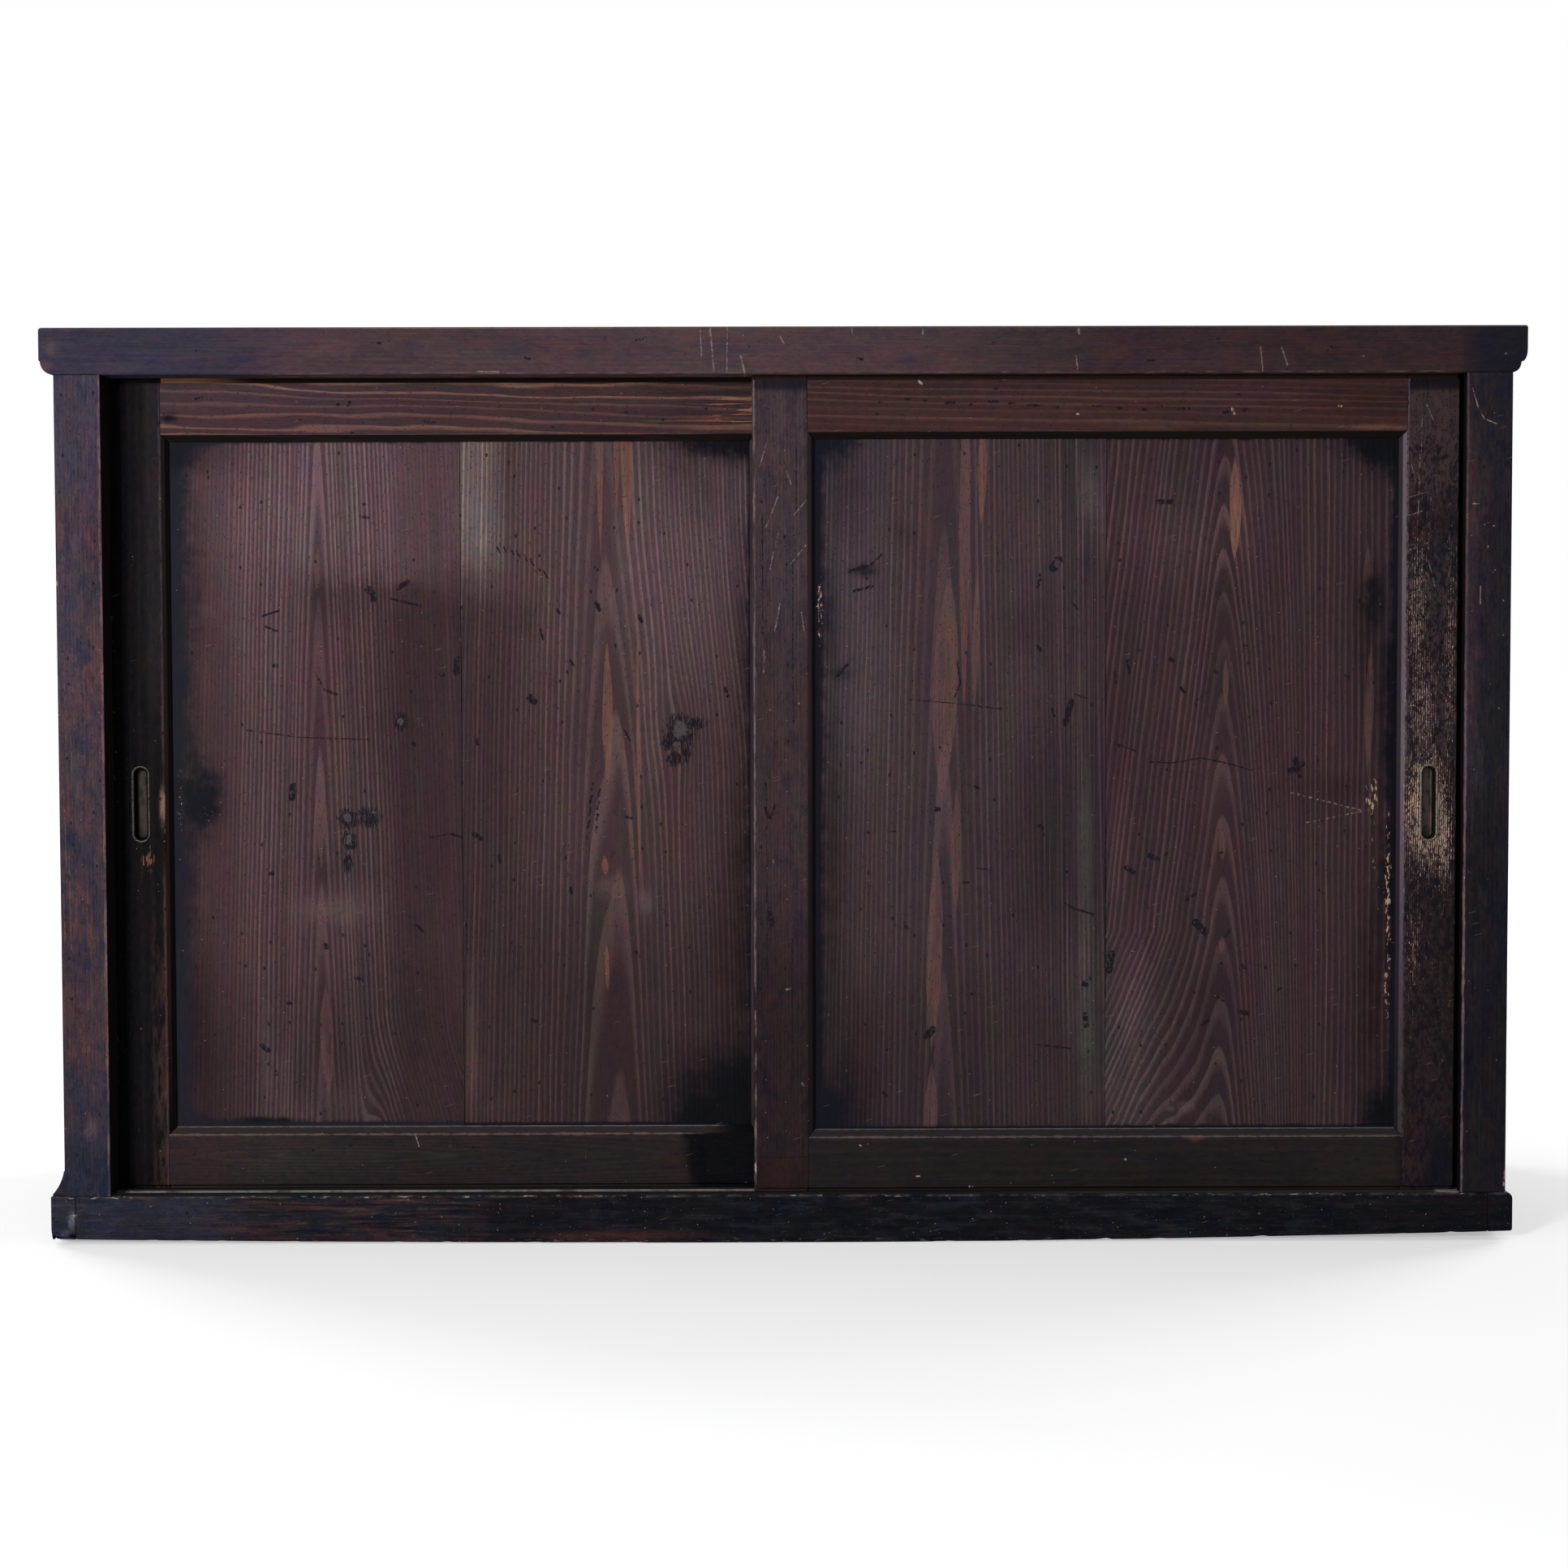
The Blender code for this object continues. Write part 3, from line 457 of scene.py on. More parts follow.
    def specks(self, colour, size, radius, share, strength, long=1.0, angle=None):
        """Small dents or chips scattered at random, long with the grain or along an angle."""
        point, sizes = self.point, self.stretch(size * long, size)
        if self.face is not None:
            turn = node_for("ShaderNodeVectorRotate", (self.point,))
            turn.rotation_type = "X_AXIS"
            feed(turn.inputs["Vector"], self.point)
            turn.inputs["Angle"].default_value = math.radians(-90.0)
            point, sizes = Field(turn.outputs[0]), (sizes[0], sizes[2], 1.0)
            if angle is not None:
                turn.rotation_type = "EULER_XYZ"
                turn.inputs["Rotation"].default_value = (math.radians(-90.0), 0.0, math.radians(-angle))
                sizes = (size * long, size, 1.0)
        gap, luck = spots(point, sizes, self.face is not None)
        gap = gap + self.rough * (0.9 * radius / size)
        dent = ramp(gap, radius / size, radius / size * 0.5) * ramp(luck, share, share - 0.01)
        if self.face is not None:
            dent = dent * self.front
        self.lay(colour, dent * strength)

    def blots(self, share, long=34.0, short=13.0):
        """Old stain gone red in places and blue in others, with ragged edges."""
        for size, change in ((1.0, (1.24, 1.05, 0.98)), (0.83, (0.74, 0.84, 1.00)),
                             (0.31, (0.76, 0.81, 0.87)), (0.24, (1.24, 1.15, 1.10))):
            area = self.areas(self.stretch(long * size, short * size), 0.50, 0.585, 5.0, 0.70)
            moved = compute_vector("MULTIPLY", self.colour, change)
            self.colour = blend(self.colour, moved, area * (share * self.front))

    def weather(self, blotted):
        """What years of use leave everywhere: blots, pores, nicks, hairline scratches and chips."""
        self.blots(blotted)
        self.tint(0.26, 7.0)
        self.tint(0.28, self.stretch(120.0, 24.0))
        self.lay(dent_dark, self.areas(self.stretch(6.5, 0.7), 0.585, 0.70, 3.0, 0.72) * 0.50)
        self.specks(dent_dark, 3.0, 0.48, 0.50, 0.50, 3.2)
        self.specks(dent_dark, 8.0, 0.66, 0.38, 0.85, 1.3)
        self.specks(dent_dark, 21.0, 1.30, 0.32, 0.90, 1.6)
        self.specks(pale_chip, 17.0, 0.42, 0.14, 0.60)
        if self.face is not None:
            self.specks(dent_dark, 1.5, 0.26, 0.045, 0.60, 30.0, 68.0)
            self.specks(dent_dark, 1.5, 0.26, 0.035, 0.55, 26.0, -28.0)
            self.specks(pale_chip, 1.4, 0.20, 0.012, 0.24, 22.0, 15.0)

    def arris(self, colour, width, share, strength=0.8, size=9.0):
        """Colour rubbed off the long edges of a box-shaped board."""
        gaps = []
        for letter, near, far in zip(AXES, *limits(self.name)):
            value = self.solid[letter]
            gaps.append(compute("MINIMUM", value - near, far - value))
        inner = compute("MINIMUM", gaps[0], gaps[1])
        outer = compute("MAXIMUM", gaps[0], gaps[1])
        second = compute("MAXIMUM", inner, compute("MINIMUM", outer, gaps[2]))
        reach = self.areas(self.stretch(size, size * 0.3), 0.72 - share * 0.4, 0.86 - share * 0.4,
                           3.0, 0.6) * width
        self.lay(colour, ramp(reach - second, -0.35, 0.35) * strength)

    def streak(self, colour, letter, place, width, share, strength):
        """A ragged pale line on the front, square to an axis at a place, along an arris: rubbed wood, and a
        painted highlight where the arris faces the light.
        """
        size = (2.0, 2.0, 14.0) if letter == "x" else (14.0, 2.0, 2.0)
        chips = self.sway(size, 3.4 * width, 3.0, 0.65)
        gap = compute("ABSOLUTE", self.axis[letter] - place) + chips
        self.lay(colour, ramp(gap, width * 1.25, width * 0.55) * self.front * share * strength)

    def edge_line(self, colour, letter, place, width, share):
        """A ragged pale line along an arris at a true place: rubbed wood and a painted highlight."""
        chips = self.sway(7.0, 3.6 * width, 4.0, 0.68)
        gap = compute("ABSOLUTE", self.solid[letter] - place) + chips
        self.lay(colour, ramp(gap, width * 1.2, width * 0.5) * share)

    def moulding_light_and_shade(self, colour, letter, place, direction, share):
        """Painted light and shade on the frame's moulded inner edge, which slopes back from an arris at a
        place.
        """
        slope = between(self.solid["y"] - self.face, 0.35, 0.9, 8.9, 8.4)
        beyond = (self.solid[letter] - place) * direction
        self.lay(colour, slope * ramp(beyond, -1.2, -0.4) * share)

    def tongue(self, colour, share=1.0):
        """Colour on the tongue above a door's top shoulder, which is raw wood: a dark colour there is painted
        shade under the head.
        """
        self.lay(colour, ramp(self.solid["z"], top_shoulder - 0.1, top_shoulder + 0.3) * share)

    def margin(self, colour, sides, level, ragged=0.16):
        """Grime that creeps in from the frame: (axis, place, direction, reach) a side."""
        total = 0.0
        for letter, place, direction, reach in sides:
            gap = (self.axis[letter] - place) * (direction / reach)
            total = compute("EXPONENT", compute("MINIMUM", gap, 0.0)) + total
        rough = self.patchy * (3.4 * ragged) + self.rough * (0.8 * ragged)
        self.lay(colour, ramp(total + rough, *level))

    def finish(self, roughness=0.55, bump=0.18):
        """Joins the coats to the shader."""
        feed(self.shader.inputs["Base Color"], self.colour)
        feed(self.shader.inputs["Roughness"], self.height * -0.10 + roughness)
        relief = self.shader.id_data.nodes.new("ShaderNodeBump")
        relief.inputs["Distance"].default_value = bump / MILLIMETRES
        feed(relief.inputs["Height"], self.height)
        feed(self.shader.inputs["Normal"], Field(relief.outputs[0]))
        return self.material


# Faces that carry listed marks, in millimetres: (y, spread in x, spread in z, lift)
post_face = (-200.0, 1.0, 1.0, 0.0)
door_face = {"left": (-165.5, 0.99083, 0.99166, 2.79), "right": (-188.0, 0.99665, 0.99749, 1.06)}
panel_face = {"left": (-157.2, 0.98873, 0.98956, 3.41), "right": (-179.7, 0.99448, 0.99532, 1.70)}

# Arrises of the door frames' moulded edges and the top shoulder, in millimetres
inner_arris = {
    "left_door_handle": -515.0, "left_door_meeting": -22.5, "right_door_handle": 511.3,
    "right_door_meeting": 18.8, "top": 667.6, "bottom": 85.4}
top_shoulder = 709.6

front_boards = {}


def front_board(names, along, across, face, specular=0.012):
    """Marks a function that lays the coats of the boards named, and says how their wood lies."""
    def keep(lay_coats):
        for name in names.split():
            front_boards[name] = (lay_coats, along, across, face, specular)
        return lay_coats
    return keep


@front_board("left_door_panel_board_left", "z", "x", panel_face["left"])
def left_panel_left_board(wood, x, z):
    """Fine straight grain with a slender row of pointed figures, rubbed pale towards the top."""
    bend = ramp(z, 190, 60) * ramp(x, -365, -335) * 24
    wander = wood.sway((40, 40, 190), 3, 1)
    wide = x + 391 - bend + wander
    count = compute("SQRT", wide * wide + 60) / 3.6 + z / 118
    clear = between(x, -478, -445, -318, -338) * 0.80 + 0.20
    wood.grain(count, (52, 29, 32), (126, 77, 78), clear, (0.30, 0.70))
    wood.fibres(0.24)
    wood.mottle(0.16)
    rough = wood.sway((30, 30, 16), 40, 3)
    wood.shine((135, 86, 94), ramp(z + rough, 536, 570) * ramp(x, -425, -385) * 0.62)
    wood.shine((130, 80, 90), ramp(z + rough, 380, 640) * ramp(x, -385, -425) * 0.62)
    wood.shine((38, 22, 26), ramp(x, -375, -318) * ramp(z + rough, 552, 520) * ramp(z, 150, 330) * 0.55)
    wood.patches((110, 72, 72), (
        (-383, 272, 42, 17, 0.55), (-440, 150, 6, 62, 0.60), (-372, 110, 34, 24, 0.40),
        (-270, 600, 8, 60, 0.60), (-484, 525, 14, 12, 0.35)))
    wood.shine((41, 27, 27), ramp(z, 260, 150) * 0.6)
    wood.lenses(ember, ((-391, 578, -392, 540, 3.4), (-391, 408, -391, 300, 3.6),
                        (-390, 364, -390, 322, 2.6), (-389, 212, -386, 112, 6)), 0.62)
    wood.tone((
        (-376, 537, 55, 30, 0.2), (-342, 547, 14, 20, 0.25),
        (-356, 421, 26, 110, 0.14), (-370, 306, 40, 16, 0.2), (-385, 166, 9, 34, 0.25),
        (-498, 562, 13, 90, 0.4), (-498, 178, 13, 90, 0.4), (-504, 381, 14, 200, 0.3),
        (-485, 658, 45, 22, 0.35), (-327, 200, 42, 60, 0.18)), -1)
    wood.tone((
        (-427, 123, 8, 45, 0.5), (-409, 96, 16, 16, 0.4), (-282, 401, 5, 200, 0.14),
        (-445, 602, 46, 36, 0.16)), 1)
    wood.margin((15.5, 15.5, 22), (("x", -515, -1, 24), ("z", 667, 1, 4), ("z", 90, -1, 4)),
                (0.32, 0.74), 0.20)
    wood.patches(navy, ((-492, 366, 20, 32, 1.15), (-440, 94, 34, 3, 0.9), (-506, 655, 18, 16, 0.8)), 0.8)
    wood.rubbed((420, 310, 240), ((-509, 362, 6, 40, 0.66), (-486, 352, 15, 14, 0.56)), (0.9, 2.2), 0.90)
    wood.marks(dent_dark, (
        (-324, 543, -316, 548, 2.2), (-276, 472, -275, 483, 2.8), (-289, 470, -287, 470, 2),
        (-415, 367, -414, 377, 3), (-429, 478, -427, 478, 1.8), (-438, 520, -425, 524, 0.9),
        (-436, 511, -426, 507, 0.9), (-452, 424, -410, 418, 0.5), (-410, 418, -350, 416, 0.5),
        (-394, 472, -387, 458, 0.9), (-387, 458, -377, 454, 1.2), (-299, 333, -284, 336, 0.7),
        (-281, 336, -268, 332, 1.1), (-258, 337, -253, 330, 2), (-347, 542, -345, 534, 3),
        (-355, 603, -349, 602, 1.4), (-363, 215, -358, 213, 1.6), (-388, 243, -387, 240, 1.8),
        (-434, 303, -432, 303, 1.8), (-420, 193, -418, 193, 1.5), (-443, 157, -437, 153, 2.2),
        (-431, 135, -431, 133, 1.6), (-311, 259, -306, 254, 1.2), (-313, 413, -311, 411, 1.4),
        (-330, 534, -305, 528, 1)))
    wood.knot(((-351, 350, 13, 10, 1), (-368, 349, 11, 10, 1), (-367, 330, 8, 12, 1),
               (-369, 312, 5, 11, 1), (-323, 431, 7.5, 9, 1)),
              ((-369, 350, 6, 6.5, 0.85), (-367, 331, 4.6, 7, 0.85), (-323, 431, 4.2, 5.4, 0.85),
               (-346, 354, 4, 3, 0.7)))


@front_board("left_door_panel_board_right", "z", "x", panel_face["left"])
def left_panel_right_board(wood, x, z):
    """Broad figured grain round a long heart, with a grey knot and a rubbed band at the joint."""
    knot = wood.hills(((-95, 424, 17, 46, 1),))
    drift = ramp(z, 620, 380) * ramp(x, -170, -140) * 13
    wander = wood.sway((30, 40, 170), 4, 1)
    side = x + 95
    wide = x + 152.5 - drift + wander - side * knot * 0.55
    count = compute("SQRT", wide * wide + 760) / 3.9 + z / 165
    wood.grain(count, (54, 32, 34), (124, 74, 71), 0.85, (0.42, 0.76))
    wood.fibres(0.24)
    wood.mottle(0.16)
    rough = wood.sway((20, 20, 26), 50, 3)
    wood.shine((200, 150, 140), ramp(x, -273, -270) * ramp(x + rough * 0.16, -226, -258)
               * ramp(z + rough, 525, 600) * 0.72)
    wood.shine((108, 68, 70), ramp(x, -235, -215) * ramp(z + rough, 400, 600) * 0.5)
    wood.shine((36, 22, 26), ramp(x, -195, -245) * ramp(z + rough, 560, 520) * ramp(z, 150, 330) * 0.55)
    wood.shine((38, 24, 24), ramp(z, 330, 200) * 0.65)
    wood.shine((112, 70, 73), ramp(x, -140, -112) * ramp(z + rough, 420, 520) * 0.55)
    wood.patches((105, 68, 66), ((-118, 278, 9, 14, 0.7), (-146, 290, 15, 12, 0.6),
                                 (-265, 170, 5, 70, 0.4)))
    wood.lenses(ember_bright, ((-149, 502, -149, 372, 4.8), (-152, 318, -151, 300, 3.4),
                               (-151, 246, -150, 200, 2.2)), 0.66)
    wood.lenses(ember_bright, ((-133, 800, -131, 560, 5.5), (-155, 790, -154, 560, 3.4),
                               (-124, 560, -122, 250, 2), (-141, 720, -140, 600, 2.6)), 0.72)
    wood.tone((
        (-216, 517, 12, 30, 0.18), (-202, 330, 20, 150, 0.12),
        (-71, 643, 50, 42, 0.32), (-40, 249, 24, 170, 0.38), (-38, 502, 12, 120, 0.25),
        (-66, 127, 28, 34, 0.36)), -1)
    wood.tone((
        (-265, 123, 12, 30, 0.4), (-253, 104, 20, 10, 0.3), (-241, 562, 16, 36, 0.28),
        (-131, 562, 14, 60, 0.25), (-113, 421, 11, 60, 0.22)), 1)
    wood.margin(navy, (("x", -28, 1, 4), ("z", 667, 1, 3), ("z", 90, -1, 2.5)), (0.30, 0.80), 0.22)
    # Black grime in the corners, and painted shade along the edge beside the other door's stile.
    wood.patches(soot_and_shade, ((-26, 84, 70, 64, 1.7), (-40, 668, 70, 21, 1.1), (-26, 380, 16, 300, 0.62)), 0.55)
    dashes = tuple((-241 + 5.6 * i, 577.5 - 0.42 * i * i, -238.5 + 5.6 * i, 572.5 - 0.42 * i * i, 0.8)
                   for i in range(8))
    cluster = tuple((-167 + (i * 7) % 13, 331 + 5.2 * i, -165.5 + (i * 7) % 13, 337 + 5.2 * i, 0.9)
                    for i in range(9))
    wood.marks(dent_dark, dashes + cluster + (
        (-214, 451, -211, 448, 3.4), (-158, 530, -155, 524, 1.8), (-122, 519, -120, 515, 1.8),
        (-135, 424, -130, 414, 0.8), (-269, 262, -268.5, 236, 0.7), (-213, 178, -211, 177, 1.5),
        (-127, 237, -123, 232, 1), (-260, 418, -258, 412, 1.6), (-159, 560, -157, 558, 1.3),
        (-181, 290, -180, 286, 1.3), (-191, 525, -189, 522, 1.3), (-205, 508, -203, 500, 1),
        (-180, 482, -176, 476, 1), (-262, 336, -256, 332, 2.2), (-241, 318, -240, 312, 1.4),
        (-134, 350, -129, 349, 1), (-50, 458, -48, 452, 1.6)))
    wood.knot(((-88, 421, 16, 19, 1), (-74, 429, 10, 6, 1), (-98, 414, 7, 11, 1),
               (-93, 399, 8, 8, 1), (-83, 403, 5, 9, 1)),
              ((-88, 424, 9.5, 12, 0.85), (-92, 410, 4.5, 6, 0.7)))


@front_board("right_door_panel_board_left", "z", "x", panel_face["right"])
def right_panel_left_board(wood, x, z):
    """Fine bluish grain at the frame, broad grain with long red figures, and a dark hard edge."""
    wander = wood.sway((34, 40, 200), 4, 1)
    wide = x - 132 + wander
    count = compute("SQRT", wide * wide + 820) / 3.6 + z / 230
    wood.grain(count, (45, 30, 34), (100, 62, 66), 0.8, (0.42, 0.76))
    wood.fibres(0.26)
    wood.mottle(0.20)
    wood.shine((70, 50, 62), ramp(x, 120, 50) * ramp(z, 300, 450) * 0.7)
    hairs = wood.areas((1.5, 1.5, 420), 0.47, 0.56, 2, 0.6)
    wood.lay((22, 19, 21), hairs * ramp(x, 200, 232) * (ramp(z, 170, 260) * 0.5 + 0.25))
    wood.patches((85, 68, 64), ((250, 320, 9, 90, 0.6), (252, 160, 9, 40, 0.5), (252, 625, 12, 34, 0.5)))
    wood.shine((30, 22, 26), ramp(x, 165, 215) * ramp(z, 480, 380) * ramp(z, 210, 290) * 0.45)
    wood.shine((38, 27, 28), ramp(z, 260, 170) * 0.65)
    wood.lenses(ember_bright, ((165, 690, 163, 590, 4.5),), 0.6)
    wood.lenses(ember, ((137, 556, 130, 362, 11), (143, 380, 142, 268, 4.5),
                        (127, 330, 122, 150, 7), (160, 560, 157, 430, 3.5),
                        (122, 146, 121, 60, 6), (150, 760, 149, 430, 5)), 0.72)
    wood.tone((
        (45, 621, 22, 40, 0.3), (38, 300, 15, 220, 0.38), (48, 119, 32, 60, 0.45),
        (198, 509, 26, 26, 0.18), (183, 300, 36, 100, 0.18)), -1)
    wood.tone((
        (263, 599, 22, 30, 0.35), (229, 581, 30, 36, 0.18), (247, 204, 12, 60, 0.55),
        (253, 119, 14, 30, 0.4), (73, 493, 30, 90, 0.18), (241, 430, 15, 150, 0.22)), 1)
    wood.margin(navy, (("x", 27, -1, 9), ("z", 667, 1, 4), ("z", 90, -1, 3.5)), (0.32, 0.80), 0.22)
    wood.patches(navy, ((26, 90, 34, 40, 1.4), (28, 668, 36, 26, 1.3), (66, 555, 16, 7, 0.6),
                        (48, 470, 12, 10, 0.5), (36, 520, 10, 60, 0.5), (100, 585, 14, 12, 0.35)),
                 0.7)
    wood.marks(dent_dark, (
        (233, 428, 238, 446, 2.8), (249, 211, 251, 210, 2.2), (251, 176, 250, 185, 2.4),
        (118, 167, 123, 173, 3.2), (126, 357, 128, 357, 2.2), (233, 278, 243, 273, 0.9),
        (243, 273, 257, 269, 0.9), (104, 448, 140, 445, 0.45), (140, 445, 182, 440, 0.45),
        (54, 554, 72, 560, 1.6), (72, 560, 81, 568, 1), (58, 538, 73, 542, 1.2),
        (44, 468, 52, 477, 1.4), (158, 376, 161, 374, 1.4), (212, 343, 214, 341, 1.8),
        (210, 492, 213, 488, 1.4), (100, 262, 101, 258, 1.6), (155, 203, 157, 202, 1.2),
        (143, 480, 146, 462, 0.7), (146, 462, 141, 450, 0.7), (241, 452, 250, 449, 0.7),
        (82, 340, 94, 338, 0.5), (160, 308, 172, 306, 0.7), (82, 120, 84, 118, 1.6),
        (148, 296, 153, 296, 0.8), (222, 440, 224, 434, 0.9), (210, 160, 238, 157, 0.7),
        (227, 563, 223, 557, 4), (243, 523, 238, 528, 1), (212, 548, 210, 541, 1.3)))
    wood.marks((66, 52, 56), ((226, 561, 226, 559, 2.4),), 0.9)
    wood.rubbed(raw_wood, ((29, 525, 3.5, 42, 0.8), (30, 430, 3, 70, 0.35), (34, 335, 3, 20, 0.3)),
                (1.6, 4))


@front_board("right_door_panel_board_right", "z", "x", panel_face["right"])
def right_panel_right_board(wood, x, z):
    """A row of sharp pointed figures that lean out to the lower left."""
    wander = wood.sway((26, 40, 120), 5, 2)
    wide = x - 364 + wander
    slope = 1 - ramp(x, 372, 455)
    swirl = ramp(x, 372, 285) * compute("MAXIMUM", z * -1 + 255, 0) * 0.055
    count = (compute("SQRT", wide * wide + 90) / 5.2 + (z - 663) * slope * 0.0215) - swirl
    wood.grain(count, (38, 22, 26), (96, 55, 57), 0.88, (0.38, 0.80))
    wood.fibres(0.26)
    wood.mottle(0.20)
    wood.shine((76, 55, 55), ramp(x, 340, 285) * ramp(z, 330, 170) * 0.55)
    wood.shine((28, 18, 23), ramp(x, 440, 490) * ramp(z, 300, 420) * 0.35)
    wood.shine((46, 30, 32), ramp(z, 260, 150) * 0.35)
    wood.lenses(ember_bright, ((373, 650, 373, 560, 5.5),), 0.75)
    wood.lenses(ember, ((366, 484, 366, 440, 3.2), (364, 340, 364, 312, 3.6), (484, 580, 481, 500, 4),
                        (487, 500, 484, 380, 4), (364, 250, 364, 236, 3)), 0.6)
    wood.tone((
        (458, 371, 34, 16, 0.28), (483, 501, 14, 70, 0.32), (489, 199, 20, 115, 0.5),
        (354, 199, 14, 24, 0.18)), -1)
    wood.tone((
        (322, 581, 60, 36, 0.28), (382, 591, 22, 40, 0.28), (289, 181, 13, 62, 0.55),
        (277, 119, 26, 30, 0.4), (277, 330, 10, 50, 0.3), (368, 392, 14, 30, 0.2)), 1)
    wood.margin(navy, (("x", 508, 1, 9), ("z", 665, 1, 4.5), ("z", 90, -1, 4)), (0.40, 0.72), 0.24)
    wood.patches(soot_and_shade, ((512, 668, 50, 34, 1.5), (488, 530, 15, 30, 0.8), (508, 430, 17, 110, 0.9),
                        (508, 300, 16, 80, 0.9), (508, 92, 26, 40, 1.3)), 0.7)
    wood.patches((120, 92, 88), ((334, 108, 9, 5, 0.5), (322, 106, 5, 3, 0.4)), 0.9)
    wood.marks(dent_dark, (
        (266.6, 345, 266.6, 200, 0.9), (272, 236, 270, 222, 3.2), (303, 318, 310, 315, 2.2),
        (284, 308, 290, 304, 2.2), (342, 262, 350, 254, 3.4), (420, 388, 430, 394, 2.6),
        (424, 398, 428, 384, 2.4), (303, 396, 321, 395, 0.6), (321, 395, 346, 399, 0.6),
        (346, 399, 366, 395, 0.6), (366, 395, 388, 389, 0.6), (270, 413, 292, 405, 0.6),
        (334, 281, 342, 286, 1.4), (362, 320, 364, 320, 1.3), (381, 226, 383, 224, 1.6),
        (348, 177, 353, 180, 1.8), (320, 481, 322, 480, 1.8), (381, 492, 383, 491, 1.6),
        (329, 457, 333, 452, 1.5), (466, 467, 468, 466, 1.6), (477, 529, 480, 524, 1.8),
        (381, 187, 385, 186, 2.2), (309, 611, 320, 611, 2.2), (367, 250, 370, 255, 1.2),
        (300, 280, 302, 274, 1), (285, 480, 286, 470, 1.4), (274, 470, 275, 462, 1.2),
        (360, 200, 366, 196, 1), (411, 205, 414, 207, 1), (340, 445, 352, 455, 0.5)))
    rays = tuple((421 + 5.1 * i, 370 - 1.3 * i, 423 + 5.1 * i, 369.6 - 1.3 * i, 0.4 + 0.04 * (i % 4))
                 for i in range(12))
    rays += tuple((434 + 5.4 * i, 345 + 1.1 * i, 436 + 5.4 * i, 345.4 + 1.1 * i, 0.4) for i in range(9))
    wood.marks(raw_wood, rays, 0.55)
    wood.rubbed(raw_wood, ((502, 290, 4, 85, 0.86), (489, 362, 10, 26, 0.78), (502, 215, 5, 60, 0.72),
                           (490, 315, 5, 34, 0.60), (505, 440, 4, 60, 0.45)), (2.3, 6), 0.86)


@front_board("left_door_handle_stile", "z", "x", door_face["left"], 0.008)
def left_handle_stile(wood, x, z):
    """Dark with grime and painted shade of the jamb, worn at the inner arris and under the pull."""
    wood.grain(wood.rings((-470, -20), 3), (7.5, 6.6, 7.3), (13, 10.2, 10.8), 0.8)
    wood.fibres(0.30)
    wood.mottle(0.25)
    # Lighter towards the inner arris: rubbing, and painted light beyond the jamb's shadow.
    wood.lay((15.5, 12.5, 14), ramp(x, -545, -524) * ramp(z, 350, 560) * 0.7)
    rusty = wood.areas((6, 6, 30), 0.44, 0.56, 5, 0.68)
    wood.lay((50, 26, 23), rusty * ramp(x, -537, -528) * ramp(z, 330, 120) * 0.75)
    # Painted shadow of the left post: near black beside the jamb.
    wood.lay((3.4, 3.2, 4), ramp(x, -540, -550) * 0.92)
    wood.streak((70, 48, 54), "x", -519.6, 1.7, ramp(z, 330, 480), 0.9)
    wood.streak((75, 40, 36), "x", -520, 1.6, ramp(z, 330, 280), 0.7)
    wood.rubbed(raw_wood, ((-520, 352, 2.6, 52, 0.62), (-524, 345, 6, 30, 0.25)), (1.2, 5))
    # Rubbed raw wood by the pull, in colours darkened by painted shade.
    wood.rubbed((170, 80, 50), ((-534, 314, 9, 15, 0.85),), (1.3, 9))
    wood.patches((190, 120, 85), ((-521, 362, 3, 17, 0.80),), 1.2)
    wood.rubbed(pale_chip, ((-520, 590, 2.4, 110, 0.45),), (1.4, 5))
    # Lighter towards the inner arris near the top: rubbing, and painted light beyond the jamb's shadow.
    wood.lay((28, 20, 22), ramp(x, -536, -528) * ramp(z, 400, 500) * 0.45)
    # Painted shade on the moulded edge, which faces away from the lamp.
    wood.moulding_light_and_shade((5, 4.5, 4.5), "x", inner_arris["left_door_handle"], 1, 0.95)
    wood.lay((30, 17, 14), ramp(wood.solid["x"], -514.6, -514) * ramp(wood.solid["x"], -511.6, -512.6)
             * ramp(z, 60, 200) * 0.8)
    # Painted shade under the head, on the tongue.
    wood.tongue((14, 13, 11))


